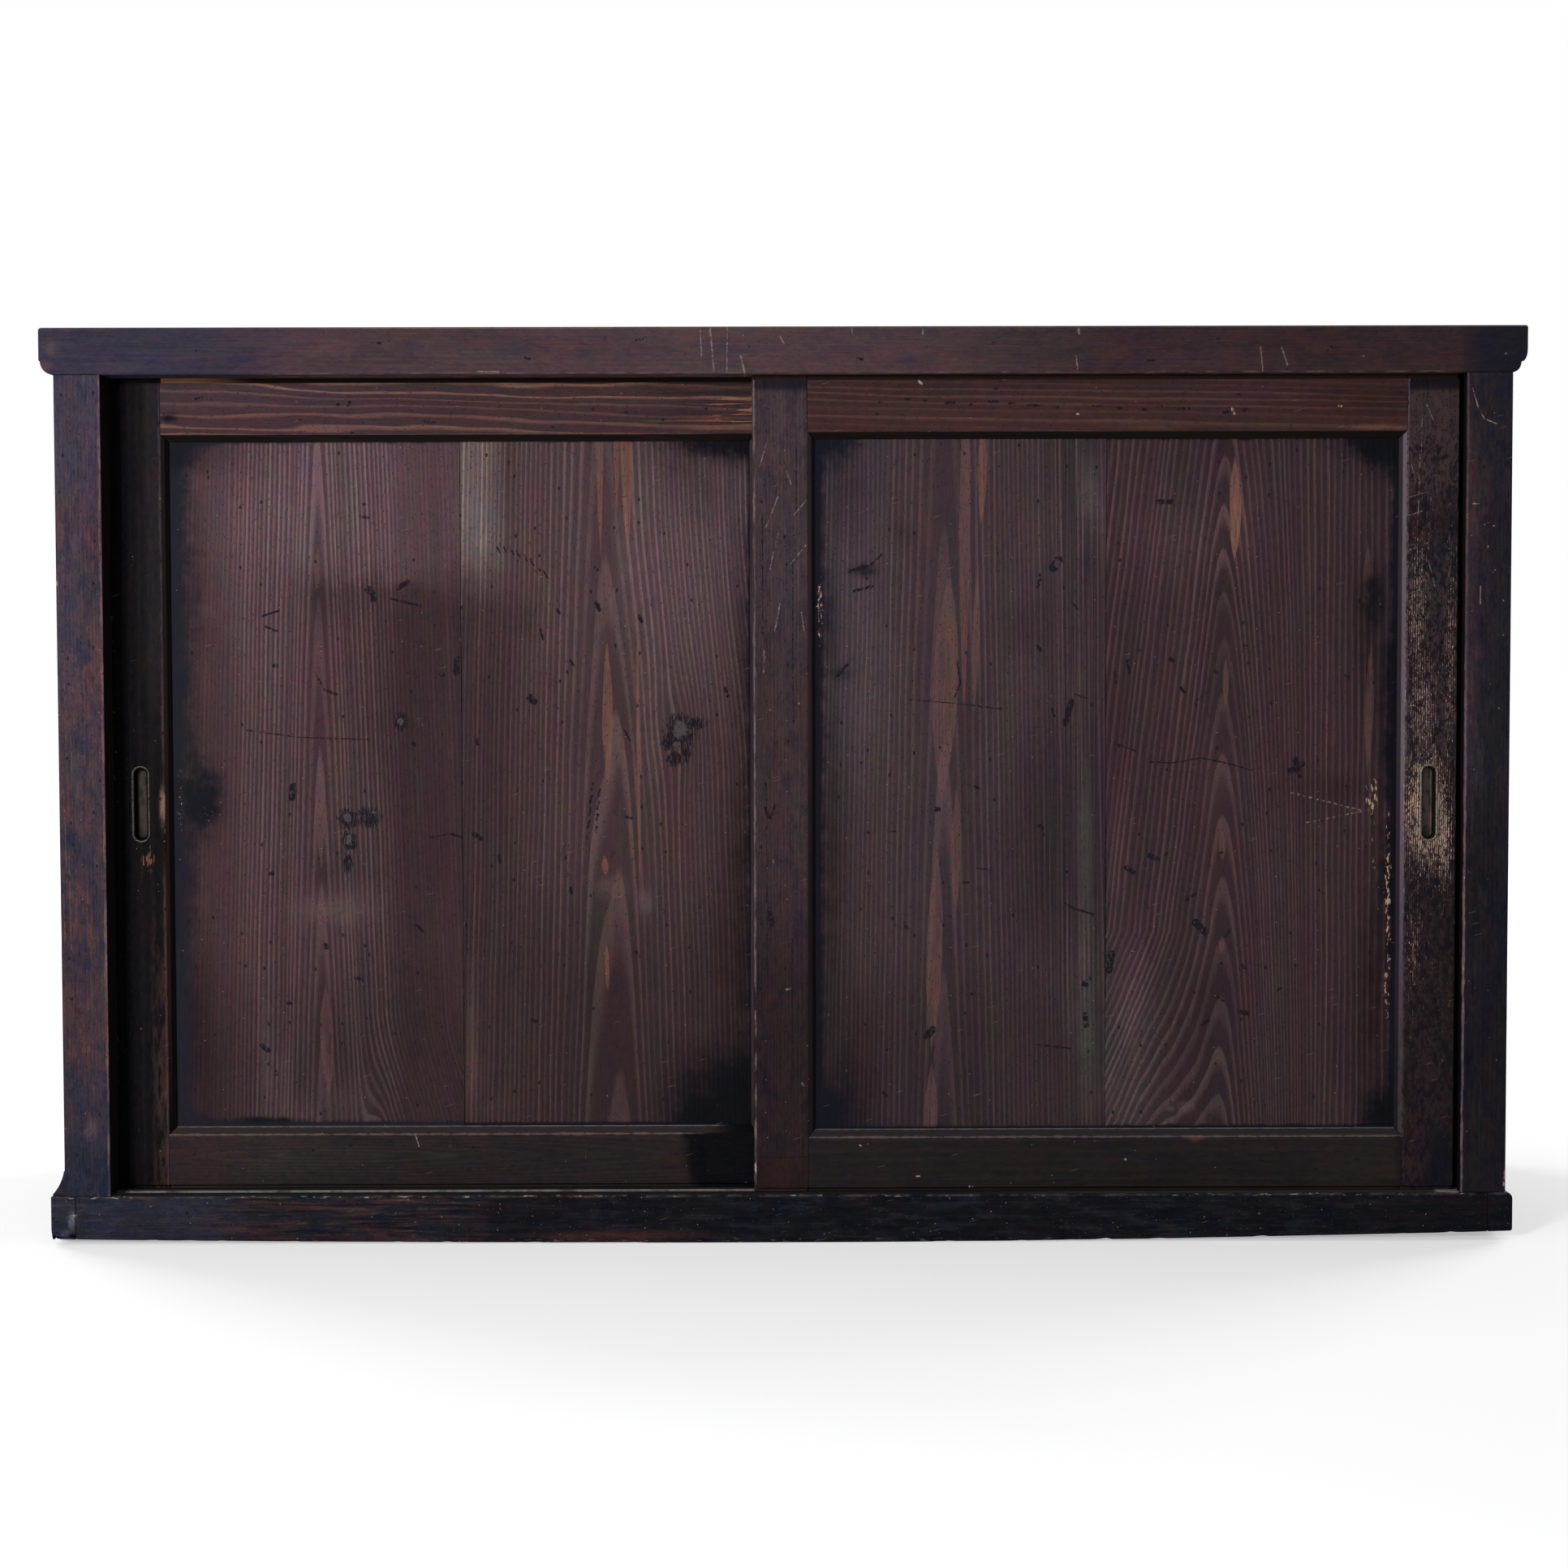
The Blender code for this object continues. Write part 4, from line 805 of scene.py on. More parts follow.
@front_board("right_door_handle_stile", "z", "x", door_face["right"], 0.010)
def right_handle_stile(wood, x, z):
    """Worn through to the raw wood round the pull, black at both ends."""
    wood.grain(wood.rings((600, -60), 2.6), (22, 14, 15), (36, 22, 24), 0.6)
    wood.fibres(0.42)
    wood.mottle(0.30)
    wood.lay((66, 41, 43), between(z, 590, 640, 708, 700) * 0.65)
    wood.lay((50, 38, 42), between(z, 340, 430, 620, 540) * 0.5)
    wood.lay((27, 18, 18), ramp(z, 280, 200) * 0.6)
    blotches = cloud(wood.point, (7, 7, 13), 5, 0.72)
    wood.lay((8.5, 8, 11), ramp(blotches, 0.51, 0.56) * (ramp(z, 680, 590) * 0.55 + 0.25))
    wood.lay(soot_and_shade, ramp(z, 698, 704) * 0.8)
    wood.patches(navy, ((545, 60, 14, 36, 1.1),), 0.6)
    # Painted light on the moulded edge, which faces the lamp.
    wood.lay((125, 96, 118), ramp(x, 512.6, 511.6) * (ramp(z, 120, 600) * 0.55 + 0.12))
    # Pale arris of the moulded edge: wear and a painted highlight.
    wood.streak((115, 88, 104), "x", 513, 1.1, ramp(z, 90, 500) * 0.6 + 0.2, 0.8)
    wood.marks(pale_chip, (
        (524, 650, 524.5, 680, 0.3), (522, 600, 523, 648, 0.3), (513, 613, 530, 618, 0.35),
        (513, 598, 525, 602, 0.35), (516, 640, 520, 625, 0.25), (528, 690, 534, 676, 0.3),
        (515, 570, 530, 576, 0.3), (531, 560, 536, 540, 0.25)), 0.40, 0.3, 0.3)
    worn = ((522, 520, 11, 85, 0.58), (530, 355, 24, 62, 0.92), (549, 480, 7, 150, 0.50),
            (527, 440, 16, 70, 0.58), (520, 240, 12, 62, 0.44), (546, 330, 9, 50, 0.78),
            (531, 600, 16, 55, 0.28), (540, 215, 14, 70, 0.22))
    wood.pinstripes((125, 80, 66), worn, 1.8, (1.4, 8), 0.875)
    wood.pinstripes((480, 340, 250), worn, 1.8, (0.85, 3), 0.945)
    holes = cloud(wood.point, (3.6, 3.6, 6.5), 5, 0.72)
    wood.lay((10.5, 9, 11.5), ramp(holes, 0.53, 0.565) * ramp(z, 690, 650) * 0.85)
    wood.specks((14, 11, 14), 3.2, 0.75, 0.55, 0.85, 1.6)
    wood.rubbed(raw_wood, ((515, 713, 6, 2.2, 1.2), (542, 713, 8, 2.2, 1.2)), (3, 2))
    # Painted light on the moulded edge, which faces the lamp.
    wood.moulding_light_and_shade((146, 114, 138), "x", inner_arris["right_door_handle"], -1,
                  ramp(z, 90, 420) * 0.7 + 0.2)
    wood.rubbed(pale_chip, ((512, 400, 2.2, 240, 0.62),), (0.9, 9))
    # Painted shade in the deeper half of the moulded edge, by the panel.
    wood.moulding_light_and_shade(soot_and_shade, "x", inner_arris["right_door_handle"] - 4, -1, 0.8)
    # Painted shade under the head, on the tongue.
    wood.tongue((22, 14, 12))


@front_board("right_door_meeting_stile", "z", "x", door_face["right"])
def right_meeting_stile(wood, x, z):
    """Plum at the top, darker downwards, with a bright chipped outer arris that is partly a painted
    highlight.
    """
    wood.grain(wood.rings((110, -90), 2.2), (43, 27, 30), (64, 42, 46), 0.5)
    wood.fibres(0.46, 60, 0.8)
    wood.mottle(0.26)
    ink = wood.areas((11, 11, 22), 0.53, 0.58, 5, 0.70)
    wood.shine((22, 20, 28), ink * 0.45)
    wood.shine((19, 12, 13), ramp(z, 330, 190) * 0.72)
    wood.shine((74, 51, 60), ramp(z, 420, 600) * 0.5)
    wood.lay(navy, ramp(z, 699, 705) * 0.85)
    wood.lay((28, 13, 11), ramp(z, 68, 66) * 0.55)
    wood.marks(dent_dark, ((-26, 68, 20, 68, 0.5), (-13, 275, -11, 262, 2.2), (-16, 358, -13, 351, 1.8),
                           (-12, 350, -8, 361, 1), (-18, 600, -18, 500, 0.4), (-15, 380, -15, 210, 0.4),
                           (7, 560, 7, 430, 0.4), (6, 250, 6, 120, 0.4), (10, 660, 10, 600, 0.4)))
    wood.marks(pale_chip, (
        (-15, 590, -5, 615, 0.35), (-5, 585, -12, 555, 0.3), (5, 560, 18, 575, 0.35),
        (8, 600, 18, 612, 0.35), (-17, 470, -17, 490, 0.4), (-12, 440, -12, 440, 0.9),
        (12, 445, 12, 445, 0.8), (1, 208, 4, 209, 0.9), (-20, 640, -14, 660, 0.3),
        (0, 640, 6, 625, 0.3), (14, 520, 16, 505, 0.3), (-8, 505, -3, 530, 0.25),
        (14, 130, 15, 128, 0.7), (-10, 316, -9, 312, 0.5)), 0.40, 0.5, 0.3)
    # Bright chipped outer arris: wear, and a painted highlight where it faces the lamp.
    wood.streak((190, 155, 150), "x", -24.8, 0.8, wood.areas((4, 4, 26), 0.40, 0.56, 3), 0.7)
    wood.rubbed((450, 400, 370), ((-24.9, 62, 1.3, 14, 0.9), (-24.9, 200, 1.2, 26, 0.75),
                                  (-24.9, 470, 1.1, 200, 0.45)), (1.4, 9))
    # Painted shade on the moulded edge, which faces away from the lamp.
    wood.moulding_light_and_shade((7, 6, 6.6), "x", inner_arris["right_door_meeting"], 1, 0.92)
    wood.lay((46, 34, 38), ramp(wood.solid["x"], 19, 19.6) * ramp(wood.solid["x"], 22.8, 21.8)
             * (ramp(z, 300, 450) * 0.5 + 0.4))
    # Painted shade under the head, on the tongue.
    wood.tongue((30, 18, 14))


@front_board("left_door_meeting_stile", "z", "x", door_face["left"])
def left_meeting_stile(wood, x, z):
    """Mostly hidden behind the other door."""
    wood.grain(wood.rings((90, -90), 2.6), (34, 22, 26), (60, 38, 42), 0.8)
    wood.fibres(0.30)
    wood.mottle(0.28)
    wood.lay(soot_and_shade, ramp(z, 120, 70) * 0.6)
    wood.arris(pale_chip, 1, 0.4, 0.5)


@front_board("left_door_top_rail", "x", "z", door_face["left"])
def left_top_rail(wood, x, z):
    """Strong red bands that slope down to the right, rubbed bright at the far end."""
    wander = wood.sway((170, 30, 20), 20, 2)
    count = (z + x * 0.030 + wander + wood.axis["y"] * 0.6) / 7.6
    wood.grain(count, (52, 29, 32), (185, 88, 70), 0.95, (0.55, 0.85))
    wood.fibres(0.30)
    wood.mottle(0.26)
    wood.shine((105, 60, 62), ramp(x, -330, -450) * ramp(z, 686, 694) * 0.45)
    bands = wood.areas((60, 9, 2.6), 0.48, 0.62, 3, 0.6)
    wood.tone(((-60, 690, 60, 16, 0.25),), -1)
    wood.lay((150, 68, 46), bands * ramp(x, -140, -70) * 0.6)
    wood.lay((300, 125, 70), ramp(bands + wood.patchy, 0.30, 0.60) * ramp(x, -72, -44)
             * ramp(z, 703, 697) * ramp(z, 674, 681) * 0.85)
    wood.lay((20, 14, 14), ramp(x, -130, -95) * ramp(z, 700, 704) * 0.6)
    wood.patches(soot_and_shade, ((-512, 684, 9, 4, 0.9), (-40, 668, 22, 3, 1)), 0.4)
    wood.streak((120, 75, 70), "z", 669.6, 0.9, ramp(x, -60, -90), 0.6)
    wood.marks(dent_dark, ((-372, 695, -371, 695, 1.4), (-362, 697, -361, 696, 1.1),
                           (-490, 700, -484, 701, 1), (-300, 681, -290, 680, 0.7)))
    # Painted shade on the moulded edge, which faces down.
    wood.moulding_light_and_shade((7, 6.5, 5), "z", inner_arris["top"], -1, 0.93)
    # Painted shade under the head, on the tongue.
    wood.tongue((24, 14, 10))
    wood.tongue(raw_orange, ramp(x, -440, -500) * 0.75)


@front_board("right_door_top_rail", "x", "z", door_face["right"])
def right_top_rail(wood, x, z):
    """Quiet plum with a row of dark dashes and a red wedge at the right end."""
    wander = wood.sway((260, 30, 22), 10, 2)
    count = (z + x * 0.022 + wander + wood.axis["y"] * 0.6) / 6
    wood.grain(count, (46, 22.5, 21.5), (98, 50, 43), 0.7, (0.45, 0.85))
    wood.fibres(0.32)
    wood.mottle(0.24)
    wood.patches((120, 55, 38), ((487, 671, 26, 2.6, 0.9), (300, 671, 40, 2, 0.4)), 0.4)
    wood.tone(((490, 694, 60, 14, 0.35),), -1)
    dashes = tuple((78 + 17.5 * i + (i * 5) % 7, 692 - 0.55 * i + (i * 3) % 4,
                    81 + 17.5 * i + (i * 5) % 9, 692 - 0.55 * i + (i * 3) % 4, 1.1) for i in range(18))
    wood.marks(dent_dark, dashes)
    wood.marks(pale_chip, ((111, 709, 113, 707, 1), (180, 711, 182, 711, 0.9),
                           (368, 686, 370, 682, 0.9), (456, 688, 458, 688, 0.7),
                           (240, 682, 242, 682, 0.7)), 0.9, 0.3)
    # Painted shade on the moulded edge, which faces down.
    wood.moulding_light_and_shade((6.5, 6, 5.5), "z", inner_arris["top"], -1, 0.93)
    # Painted shade under the head, on the tongue.
    wood.tongue((26, 15, 11))


@front_board("left_door_bottom_rail", "x", "z", door_face["left"], 0.010)
def left_bottom_rail(wood, x, z):
    """Olive brown with a quiet figure, and painted black shadow of the other door at the right end."""
    tall = (z - 65) * 3.4
    far = (x + 385) * 0.16
    count = compute("SQRT", tall * tall + far * far + 30) / 9
    wood.grain(count + cloud(wood.point, (150, 20, 20)) * 0.8, (22.5, 17.7, 17.2), (33.5, 26.5, 25), 0.6)
    wood.fibres(0.26)
    wood.mottle(0.22)
    wood.tone(((-440, 66, 60, 20, 0.45),), 1)
    wood.lay((40, 25, 24), ramp(x, -440, -500) * 0.5)
    # Painted shadow of the other door's stile: brown, then black towards the right end.
    door_shadow_edge = x + (z - 66) * 0.25 + wood.sway(14, 14, 3)
    wood.lay((30, 20, 17), ramp(door_shadow_edge, -112, -92) * 0.5)
    wood.lay((4, 4.4, 6.2), ramp(door_shadow_edge, -90, -78) * 0.95)
    wood.marks(pale_chip, ((-314, 90, -309, 73, 0.35), (-283, 73, -283, 73, 0.8)), 0.6, 0.2)
    # Painted light on the moulded edge, which faces up.
    wood.moulding_light_and_shade((36, 27, 27), "z", inner_arris["bottom"], 1, ramp(x, -40, -70) * 0.85)
    # Pale lines on both arrises of the moulded edge: wear and painted highlights.
    wood.edge_line((130, 98, 94), "z", inner_arris["bottom"], 0.8, ramp(x, -60, -90) * 0.75)
    wood.edge_line((160, 145, 150), "z", inner_arris["bottom"] + 5.7, 0.5, ramp(x, -46, -60) * 0.75)


@front_board("right_door_bottom_rail", "x", "z", door_face["right"], 0.010)
def right_bottom_rail(wood, x, z):
    """Olive brown, a little paler at the right end."""
    wood.grain(wood.rings((150, -60), 4.2), (17.5, 14.4, 14.1), (24, 19.4, 18.8), 0.5)
    wood.fibres(0.28)
    wood.mottle(0.24)
    wood.lay((24, 18, 17), ramp(x, 420, 480) * 0.6)
    wood.lay(soot_and_shade, ramp(x, 504, 512) * 0.5)
    # Pale line on the moulded edge: wear and a painted highlight.
    wood.streak((85, 70, 72), "z", 89.2, 1.2, 1, 0.50)
    wood.marks(pale_chip, ((282, 66, 284, 65, 1), (153, 43, 155, 43, 0.9), (109, 52, 111, 52, 0.7),
                           (62, 78, 63, 77, 0.6)), 0.85, 0.3)
    wood.patches((90, 42, 28), ((340, 84, 9, 4, 0.8),), 0.6)
    # Painted light on the moulded edge, which faces up.
    wood.moulding_light_and_shade((30, 25, 26), "z", inner_arris["bottom"], 1, 0.85)
    # Pale lines on both arrises of the moulded edge: wear and painted highlights.
    wood.edge_line((120, 98, 96), "z", inner_arris["bottom"], 0.8, 0.7)
    wood.edge_line((140, 130, 138), "z", inner_arris["bottom"] + 5.7, 0.5, 0.7)


@front_board("left_front_post", "z", "x", post_face)
def left_front_post(wood, x, z):
    """Bluish at the head with a painted reflection of cool light, red and blue-grey lower down, with a rubbed
    inner arris that carries a painted highlight.
    """
    wood.grain(wood.rings((-660, -130), 2.4), (50, 35, 44), (74, 49, 57), 0.5)
    wood.fibres(0.46, 60, 0.8)
    wood.mottle(0.20)
    blot = wood.areas((12, 12, 46), 0.47, 0.56, 5, 0.66)
    wood.shine((96, 48, 50), between(z, 660, 560, 90, 180) * blot * 0.60)
    ink = wood.areas((15, 15, 26), 0.51, 0.57, 5, 0.68)
    wood.shine((34, 32, 50), ink * ramp(z, 680, 560) * 0.55)
    wood.shine((54, 34, 39), ramp(z, 330, 180) * 0.7)
    # Bluish head: a painted reflection of cool light from the left.
    wood.shine((52, 48, 76), ramp(z, 590, 660) * 0.6)
    wood.shine((68, 50, 66), ramp(x, -570, -580) * ramp(z, 430, 480) * ramp(z, 610, 570) * 0.6)
    wood.shine((46, 34, 42), between(z, 430, 330, 200, 300) * 0.5)
    stain = wood.sway((16, 16, 34), 160, 4, 0.62)
    wood.shine((38, 36, 52), ramp(z + stain, 165, 110) * 0.55)
    wood.shine((27, 27, 40), ramp(z + stain * 0.4, 105, 62) * 0.85)
    wood.patches((120, 85, 90), ((-571, 95, 7, 9, 0.6),), 0.6)
    wood.marks((200, 95, 55), ((-590, 360, -589, 300, 0.4), (-587, 330, -586, 245, 0.4),
                               (-592, 290, -591, 250, 0.35), (-584, 420, -583.5, 390, 0.3)),
               0.5, 0.3)
    # Rubbed inner arris, with a painted highlight.
    broken = wood.areas((4, 4, 30), 0.42, 0.54, 4, 0.6) * 0.75 + 0.2
    wood.streak((150, 92, 90), "x", -557.6, 1.1, broken, 0.85)
    wood.marks(pale_chip, ((-594, 546, -593.5, 543, 0.8),), 0.8)
    # Painted shade: the jamb face beside the door is near black.
    jamb = ramp(x, -556.9, -556.4)
    wood.lay((2, 1.6, 1.6), jamb * 0.98)


@front_board("right_front_post", "z", "x", post_face, 0.008)
def right_front_post(wood, x, z):
    """Navy, with a thin rose stripe and an inner arris made bright by wear and a painted highlight."""
    wood.grain(wood.rings((500, -130), 2.6), (13, 12, 16), (19.5, 16.5, 21), 0.5)
    wood.lay((34, 22, 26), wood.areas((9, 9, 40), 0.49, 0.57, 5, 0.68)
             * ramp(x, 586, 566) * ramp(z, 200, 330) * 0.65)
    wood.shine((15.5, 13.2, 16.4), ramp(z, 330, 200) * 0.8)
    wood.fibres(0.32, 60, 0.9)
    wood.mottle(0.28)
    wood.lay((40, 26, 30), ramp(x, 572, 562) * ramp(z, 340, 400) * ramp(z, 690, 640) * 0.62)
    wood.lay((24, 20, 26), ramp(z, 600, 700) * 0.6)
    wood.shine((21.5, 18.5, 24), between(z, 700, 620, 330, 400) * 0.7)
    # Bright inner arris: wear and a painted highlight.
    wood.streak((180, 125, 134), "x", 557.9, 1, ramp(z, 520, 400) * 0.5 + 0.30, 0.9)
    wood.marks(pale_chip, (
        (561, 701, 566, 685, 0.35), (566, 685, 571, 676, 0.35), (571, 676, 581, 672, 0.35),
        (562, 607, 567, 607, 0.35), (572, 590, 572, 590, 0.6), (579, 589, 580, 589, 0.5),
        (575, 572, 575, 572, 0.6), (581, 553, 581, 553, 0.5), (569, 540, 569, 525, 0.4),
        (588, 528, 588, 528, 0.6), (588, 500, 588, 500, 0.6), (585, 440, 585, 440, 0.5),
        (565, 390, 565, 390, 0.5), (577, 300, 577, 300, 0.5), (568, 210, 568, 210, 0.5),
        (586, 150, 586, 150, 0.5), (593, 46, 594, 60, 0.9)), 0.55, 0.25)
    wood.rubbed(pale_chip, ((557.6, 250, 2, 150, 0.5), (557.6, 560, 1.6, 120, 0.5)), (1.4, 4))
    # Painted shade: the jamb face beside the door is near black.
    jamb = ramp(x, 556.9, 556.4)
    wood.lay((4, 3.6, 3.6), jamb * 0.95)


@front_board("top_board_front", "x", "y", None)
def top_front_board(wood, x, z):
    """Blue at the left end, a painted reflection of cool light, rose plum along the middle, navy at the right
    end.
    """
    wood.grain(wood.rings((-130, 380), 3.2, 0.01), (62, 39, 43), (79, 50, 53), 0.4)
    wood.fibres(0.34, 70, 1)
    wood.mottle(0.22, 300, 40)
    haze = wood.sway(40, 90, 3)
    near = ramp(wood.axis["y"] + haze * 0.5, -120, -178)
    wood.shine((78, 49, 52), between(x, -180, -60, 180, 60) * 0.7)
    wood.shine((42, 24.5, 26.5), ramp(x, 90, 300) * (near * 0.6 + 0.25))
    wood.shine((56, 34, 35.5), ramp(x, 330, 430) * 0.80)
    # Blue at the left end: a painted reflection of cool light from the left.
    wood.shine((37, 35, 53), ramp(x + haze, -395, -470) * near * 0.90)
    wood.lay((11.2, 12.2, 19), ramp(x + haze * 0.3, 542, 572) * near * 0.88)
    wood.patches((110, 66, 70), ((-596, 736, 7, 8, 0.6), (-600, 722, 6, 5, 0.5)), 0.8)
    crest = ramp(z, 750.2, 751.3) * ramp(wood.axis["y"], -190, -197)
    wood.lay((190, 150, 150), crest * (between(x, -420, -300, -40, -220) * 0.6 + 0.25))
    edge = ramp(z, 715.8, 714.6) * ramp(x, -440, -420) * ramp(x, 560, 540)
    chips = wood.areas((16, 4, 4), 0.44, 0.60, 3)
    wood.lay((180, 120, 110), edge * (chips * 0.45 + 0.05))
    wood.marks(dent_dark, (
        (-330, 739, -328, 739, 1.1), (-210, 727, -207, 726, 1.2), (-480, 733, -478, 733, 1),
        (-120, 741, -114, 742, 0.8), (60, 726, 64, 725, 1), (170, 738, 172, 738, 1.2),
        (296, 724, 302, 724, 0.9), (352, 741, 354, 741, 1.1), (445, 735, 449, 734, 1)))
    wood.marks((280, 240, 230), (
        (-68, 749, -67, 728, 0.3), (-60, 751, -57, 716, 0.6), (-46, 751, -46.5, 715, 0.3),
        (-35, 728, -32, 714, 0.7), (-3, 744, 0, 738, 0.4), (55, 750, 56, 745, 0.5), (113, 749, 113, 746, 0.8),
        (240, 749, 240, 746, 1), (238, 727, 239, 717, 0.5), (388, 735, 390, 715, 0.5),
        (405, 735, 410, 720, 0.5), (472, 727, 472, 727, 0.8), (588, 729, 588, 729, 0.9),
        (-250, 716, -232, 715.5, 0.6)), 0.55, 0.4)


@front_board("plinth_front_rail plinth_left_rail plinth_right_rail plinth_left_cove",
             "x", "z", post_face, 0.008)
def base_wood(wood, x, z):
    """Blue at the left end, worn red with dark stains, then navy with grey scuffs to the right."""
    deep = wood.axis["y"]
    wood.grain(wood.rings((120, 60), 3.4), (7.2, 7.6, 10.5), (11, 10.5, 13.5), 0.8)
    streaks = cloud(wood.point, (74, 20, 2.8), 4, 0.66)
    stains = cloud(wood.point, (34, 20, 9), 3, 0.60)
    shift = wood.patchy * 90
    red = ramp(x + shift, -220, -300) * ramp(x + shift, -545, -450)
    wood.lay((36, 22, 24), red * ramp(streaks, 0.38, 0.54) * 0.85)
    wood.lay((70, 41, 40), red * ramp(streaks, 0.54, 0.64) * 0.7)
    wood.lay((12, 14, 20), red * ramp(stains, 0.47, 0.58) * 0.90)
    scuffs = ramp(stains + (streaks - 0.5) * 0.6, 0.46, 0.70)
    wood.lay((17.5, 18, 24), scuffs * ramp(x, -300, -150) * ramp(x, 600, 400) * 0.85)
    wood.lay((28.5, 30, 45), ramp(x + shift, -425, -500) * (scuffs * 0.35 + 0.60))
    wood.patches((40, 20, 19), ((-140, 6, 70, 5, 1), (-330, 5, 60, 4, 0.5)), 0.5)
    wood.fibres(0.48, 34, 0.7)
    wood.tint(0.16, 16)
    wood.patches((115, 110, 135), ((-589, 20, 3.5, 9, 0.75), (-593, 8, 6, 5, 0.6)), 0.9)
    wood.rubbed((300, 290, 300), ((-587, 24, 3, 7, 0.9), (-600, 8, 4, 5, 0.5)), (1.6, 3))
    below_cove = ramp(z, 40.3, 40.1)
    rim = ramp(z, 37.6, 38.8) * wood.front * below_cove
    wood.lay((60, 52, 52), rim * ramp(wood.patchy, -0.10, 0.12) * 0.7)
    flecks = wood.areas((9, 3, 1.6), 0.60, 0.66, 3, 0.6)
    wood.lay((260, 240, 230), flecks * rim * 0.8)
    foot = ramp(z, 5, 1) * ramp(x, -430, -350) * 0.5
    wood.lay((220, 200, 190), flecks * foot)
    sill = ramp(z, 39, 39.5) * ramp(deep, -198.6, -197.6) * below_cove
    wood.lay((23, 22, 19), sill * 0.85)
    wood.lay((46, 44, 42), sill * ramp(x, 120, 260) * ramp(x, -60, -40) * 0.8)
    wood.lay((420, 400, 380), sill * ramp(x, 536, 541) * ramp(deep, -180, -186)
             * ramp(wood.patchy, -0.12, 0.04) * 0.7)
    wood.lay((170, 160, 155), ramp(z, 39.95, 39.8) * ramp(deep, -174, -173.6) * ramp(deep, -171, -172)
             * (ramp(wood.patchy, -0.16, 0.06) * 0.7 + 0.3))
    wood.specks(pale_chip, 15, 0.5, 0.30, 0.7)
    wood.specks((160, 155, 165), 5.5, 0.34, 0.30, 0.6)


def bare_board(name):
    """An unfinished inside or back board, browned by age. Its pith and tone follow from its name."""
    low, high = limits(name)
    spans = [far - near for near, far in zip(low, high)]
    longest, second = sorted(range(3), key=lambda axis: -spans[axis])[:2]
    number = sum(ord(letter) for letter in name)
    pith_across = (low[second] + high[second]) / 2 + (number * 37 % 90) - 45
    pith_deep = 330 + (number * 29 % 5) * 40 if spans[second] > 60 else 120
    tone = 0.86 + (number * 13 % 7) * 0.04
    wood = Wood(name, AXES[longest], AXES[second], specular=0.008)
    early, late = (tuple(part * tone for part in colour) for colour in (bare_early, bare_late))
    wood.grain(wood.rings((pith_across, pith_deep), 2.9, 0.012, 7, 300), early, late, 0.85, (0.45, 0.86))
    wood.fibres(0.34, 60, 0.8)
    wood.mottle(0.34, 260, 50)
    wood.tint(0.20, wood.stretch(160, 30))
    wood.lay(bare_dark, wood.areas(wood.stretch(150, 46), 0.52, 0.72, 4, 0.62) * 0.45)
    wood.lay(bare_dark, wood.areas(wood.stretch(7, 0.8), 0.58, 0.70, 3, 0.7) * 0.5)
    wood.specks(bare_dark, 22, 1, 0.35, 0.8, 1.6)
    wood.arris(bare_dark, 1.2, 0.75, 0.7, 60)
    return wood.finish(0.72, 0.15)


def side_board(name):
    """Stained side board with upright grain, like the posts but plainer, and bare inside."""
    low, high = limits(name)
    near = low[0] if low[0] < 0 else high[0]
    wood = Wood(name, "z", "y")
    wood.grain(wood.rings(((low[1] + high[1]) / 2 + 15, near * 1.2), 3.6, 0.02),
               (46, 28, 31), (92, 56, 57), 0.9, (0.40, 0.78))
    wood.fibres(0.28)
    wood.mottle(0.28)
    wood.specks(dent_dark, 24, 1.1, 0.40, 0.8, 1.6)
    wood.specks((150, 100, 90), 34, 0.8, 0.25, 0.6, 2)
    wood.blots(0.5, 60, 18)
    wood.shine((122, 75, 48), ramp(wood.axis["x"] * (-1 if near > 0 else 1), -578, -575.5))
    wood.margin(navy, (("z", 40, -1, 16), ("z", 714, 1, 9), ("y", -140, -1, 7), ("y", 160, 1, 7)),
                (0.34, 0.70))
    return wood.finish()


def plain_board(name, along, across, pith, spacing, early, late, blotted, roughness):
    """A stained board away from the front."""
    wood = Wood(name, along, across)
    wood.grain(wood.rings(pith, spacing, 0.01), early, late, 0.8)
    wood.fibres(0.30)
    wood.mottle(0.30)
    wood.specks(dent_dark, 26, 1.1, 0.35, 0.8, 1.6)
    wood.arris((130, 100, 100), 1.3, 0.5)
    if blotted:
        wood.blots(blotted)
    return wood.finish(roughness)


# Stained boards away from the front: (along, across, pith, spacing, early, late, blotted, roughness)
plain_boards = {
    "left_rear_post": ("z", "x", (-640, 260), 2.8, (30, 21, 26), (52, 34, 38), 0.8, 0.55),
    "right_rear_post": ("z", "x", (650, 260), 2.8, (30, 21, 26), (52, 34, 38), 0.8, 0.55),
    "top_board_rear": ("x", "y", (95, 420), 3.4, (52, 34, 38), (78, 50, 53), 0.6, 0.72),
    "plinth_back_rail": ("x", "z", (120, 60), 3.4, (8, 8, 10.5), (14, 12.5, 14), 0, 0.55),
}

# How blotted the stain of the front is, by a part of a board's name
blotted_share = {"panel_board": 0.26, "post": 1.0, "plinth": 0.85, "left_door_handle": 0.8, "stile": 0.62,
                 "top_board": 0.60, "bottom_rail": 0.55, "top_rail": 0.38}


def front_material(name):
    """A front board's own coats, and the wear that all of them share."""
    lay_coats, along, across, face, specular = front_boards[name]
    wood = Wood(name, along, across, face, specular)
    lay_coats(wood, wood.axis["x"], wood.axis["z"])
    wood.weather(next(share for part, share in blotted_share.items() if part in name))
    wood.arris((110, 85, 90), 1, 0.35, 0.6)
    return wood.finish(0.72 if name.startswith("top") else 0.55)


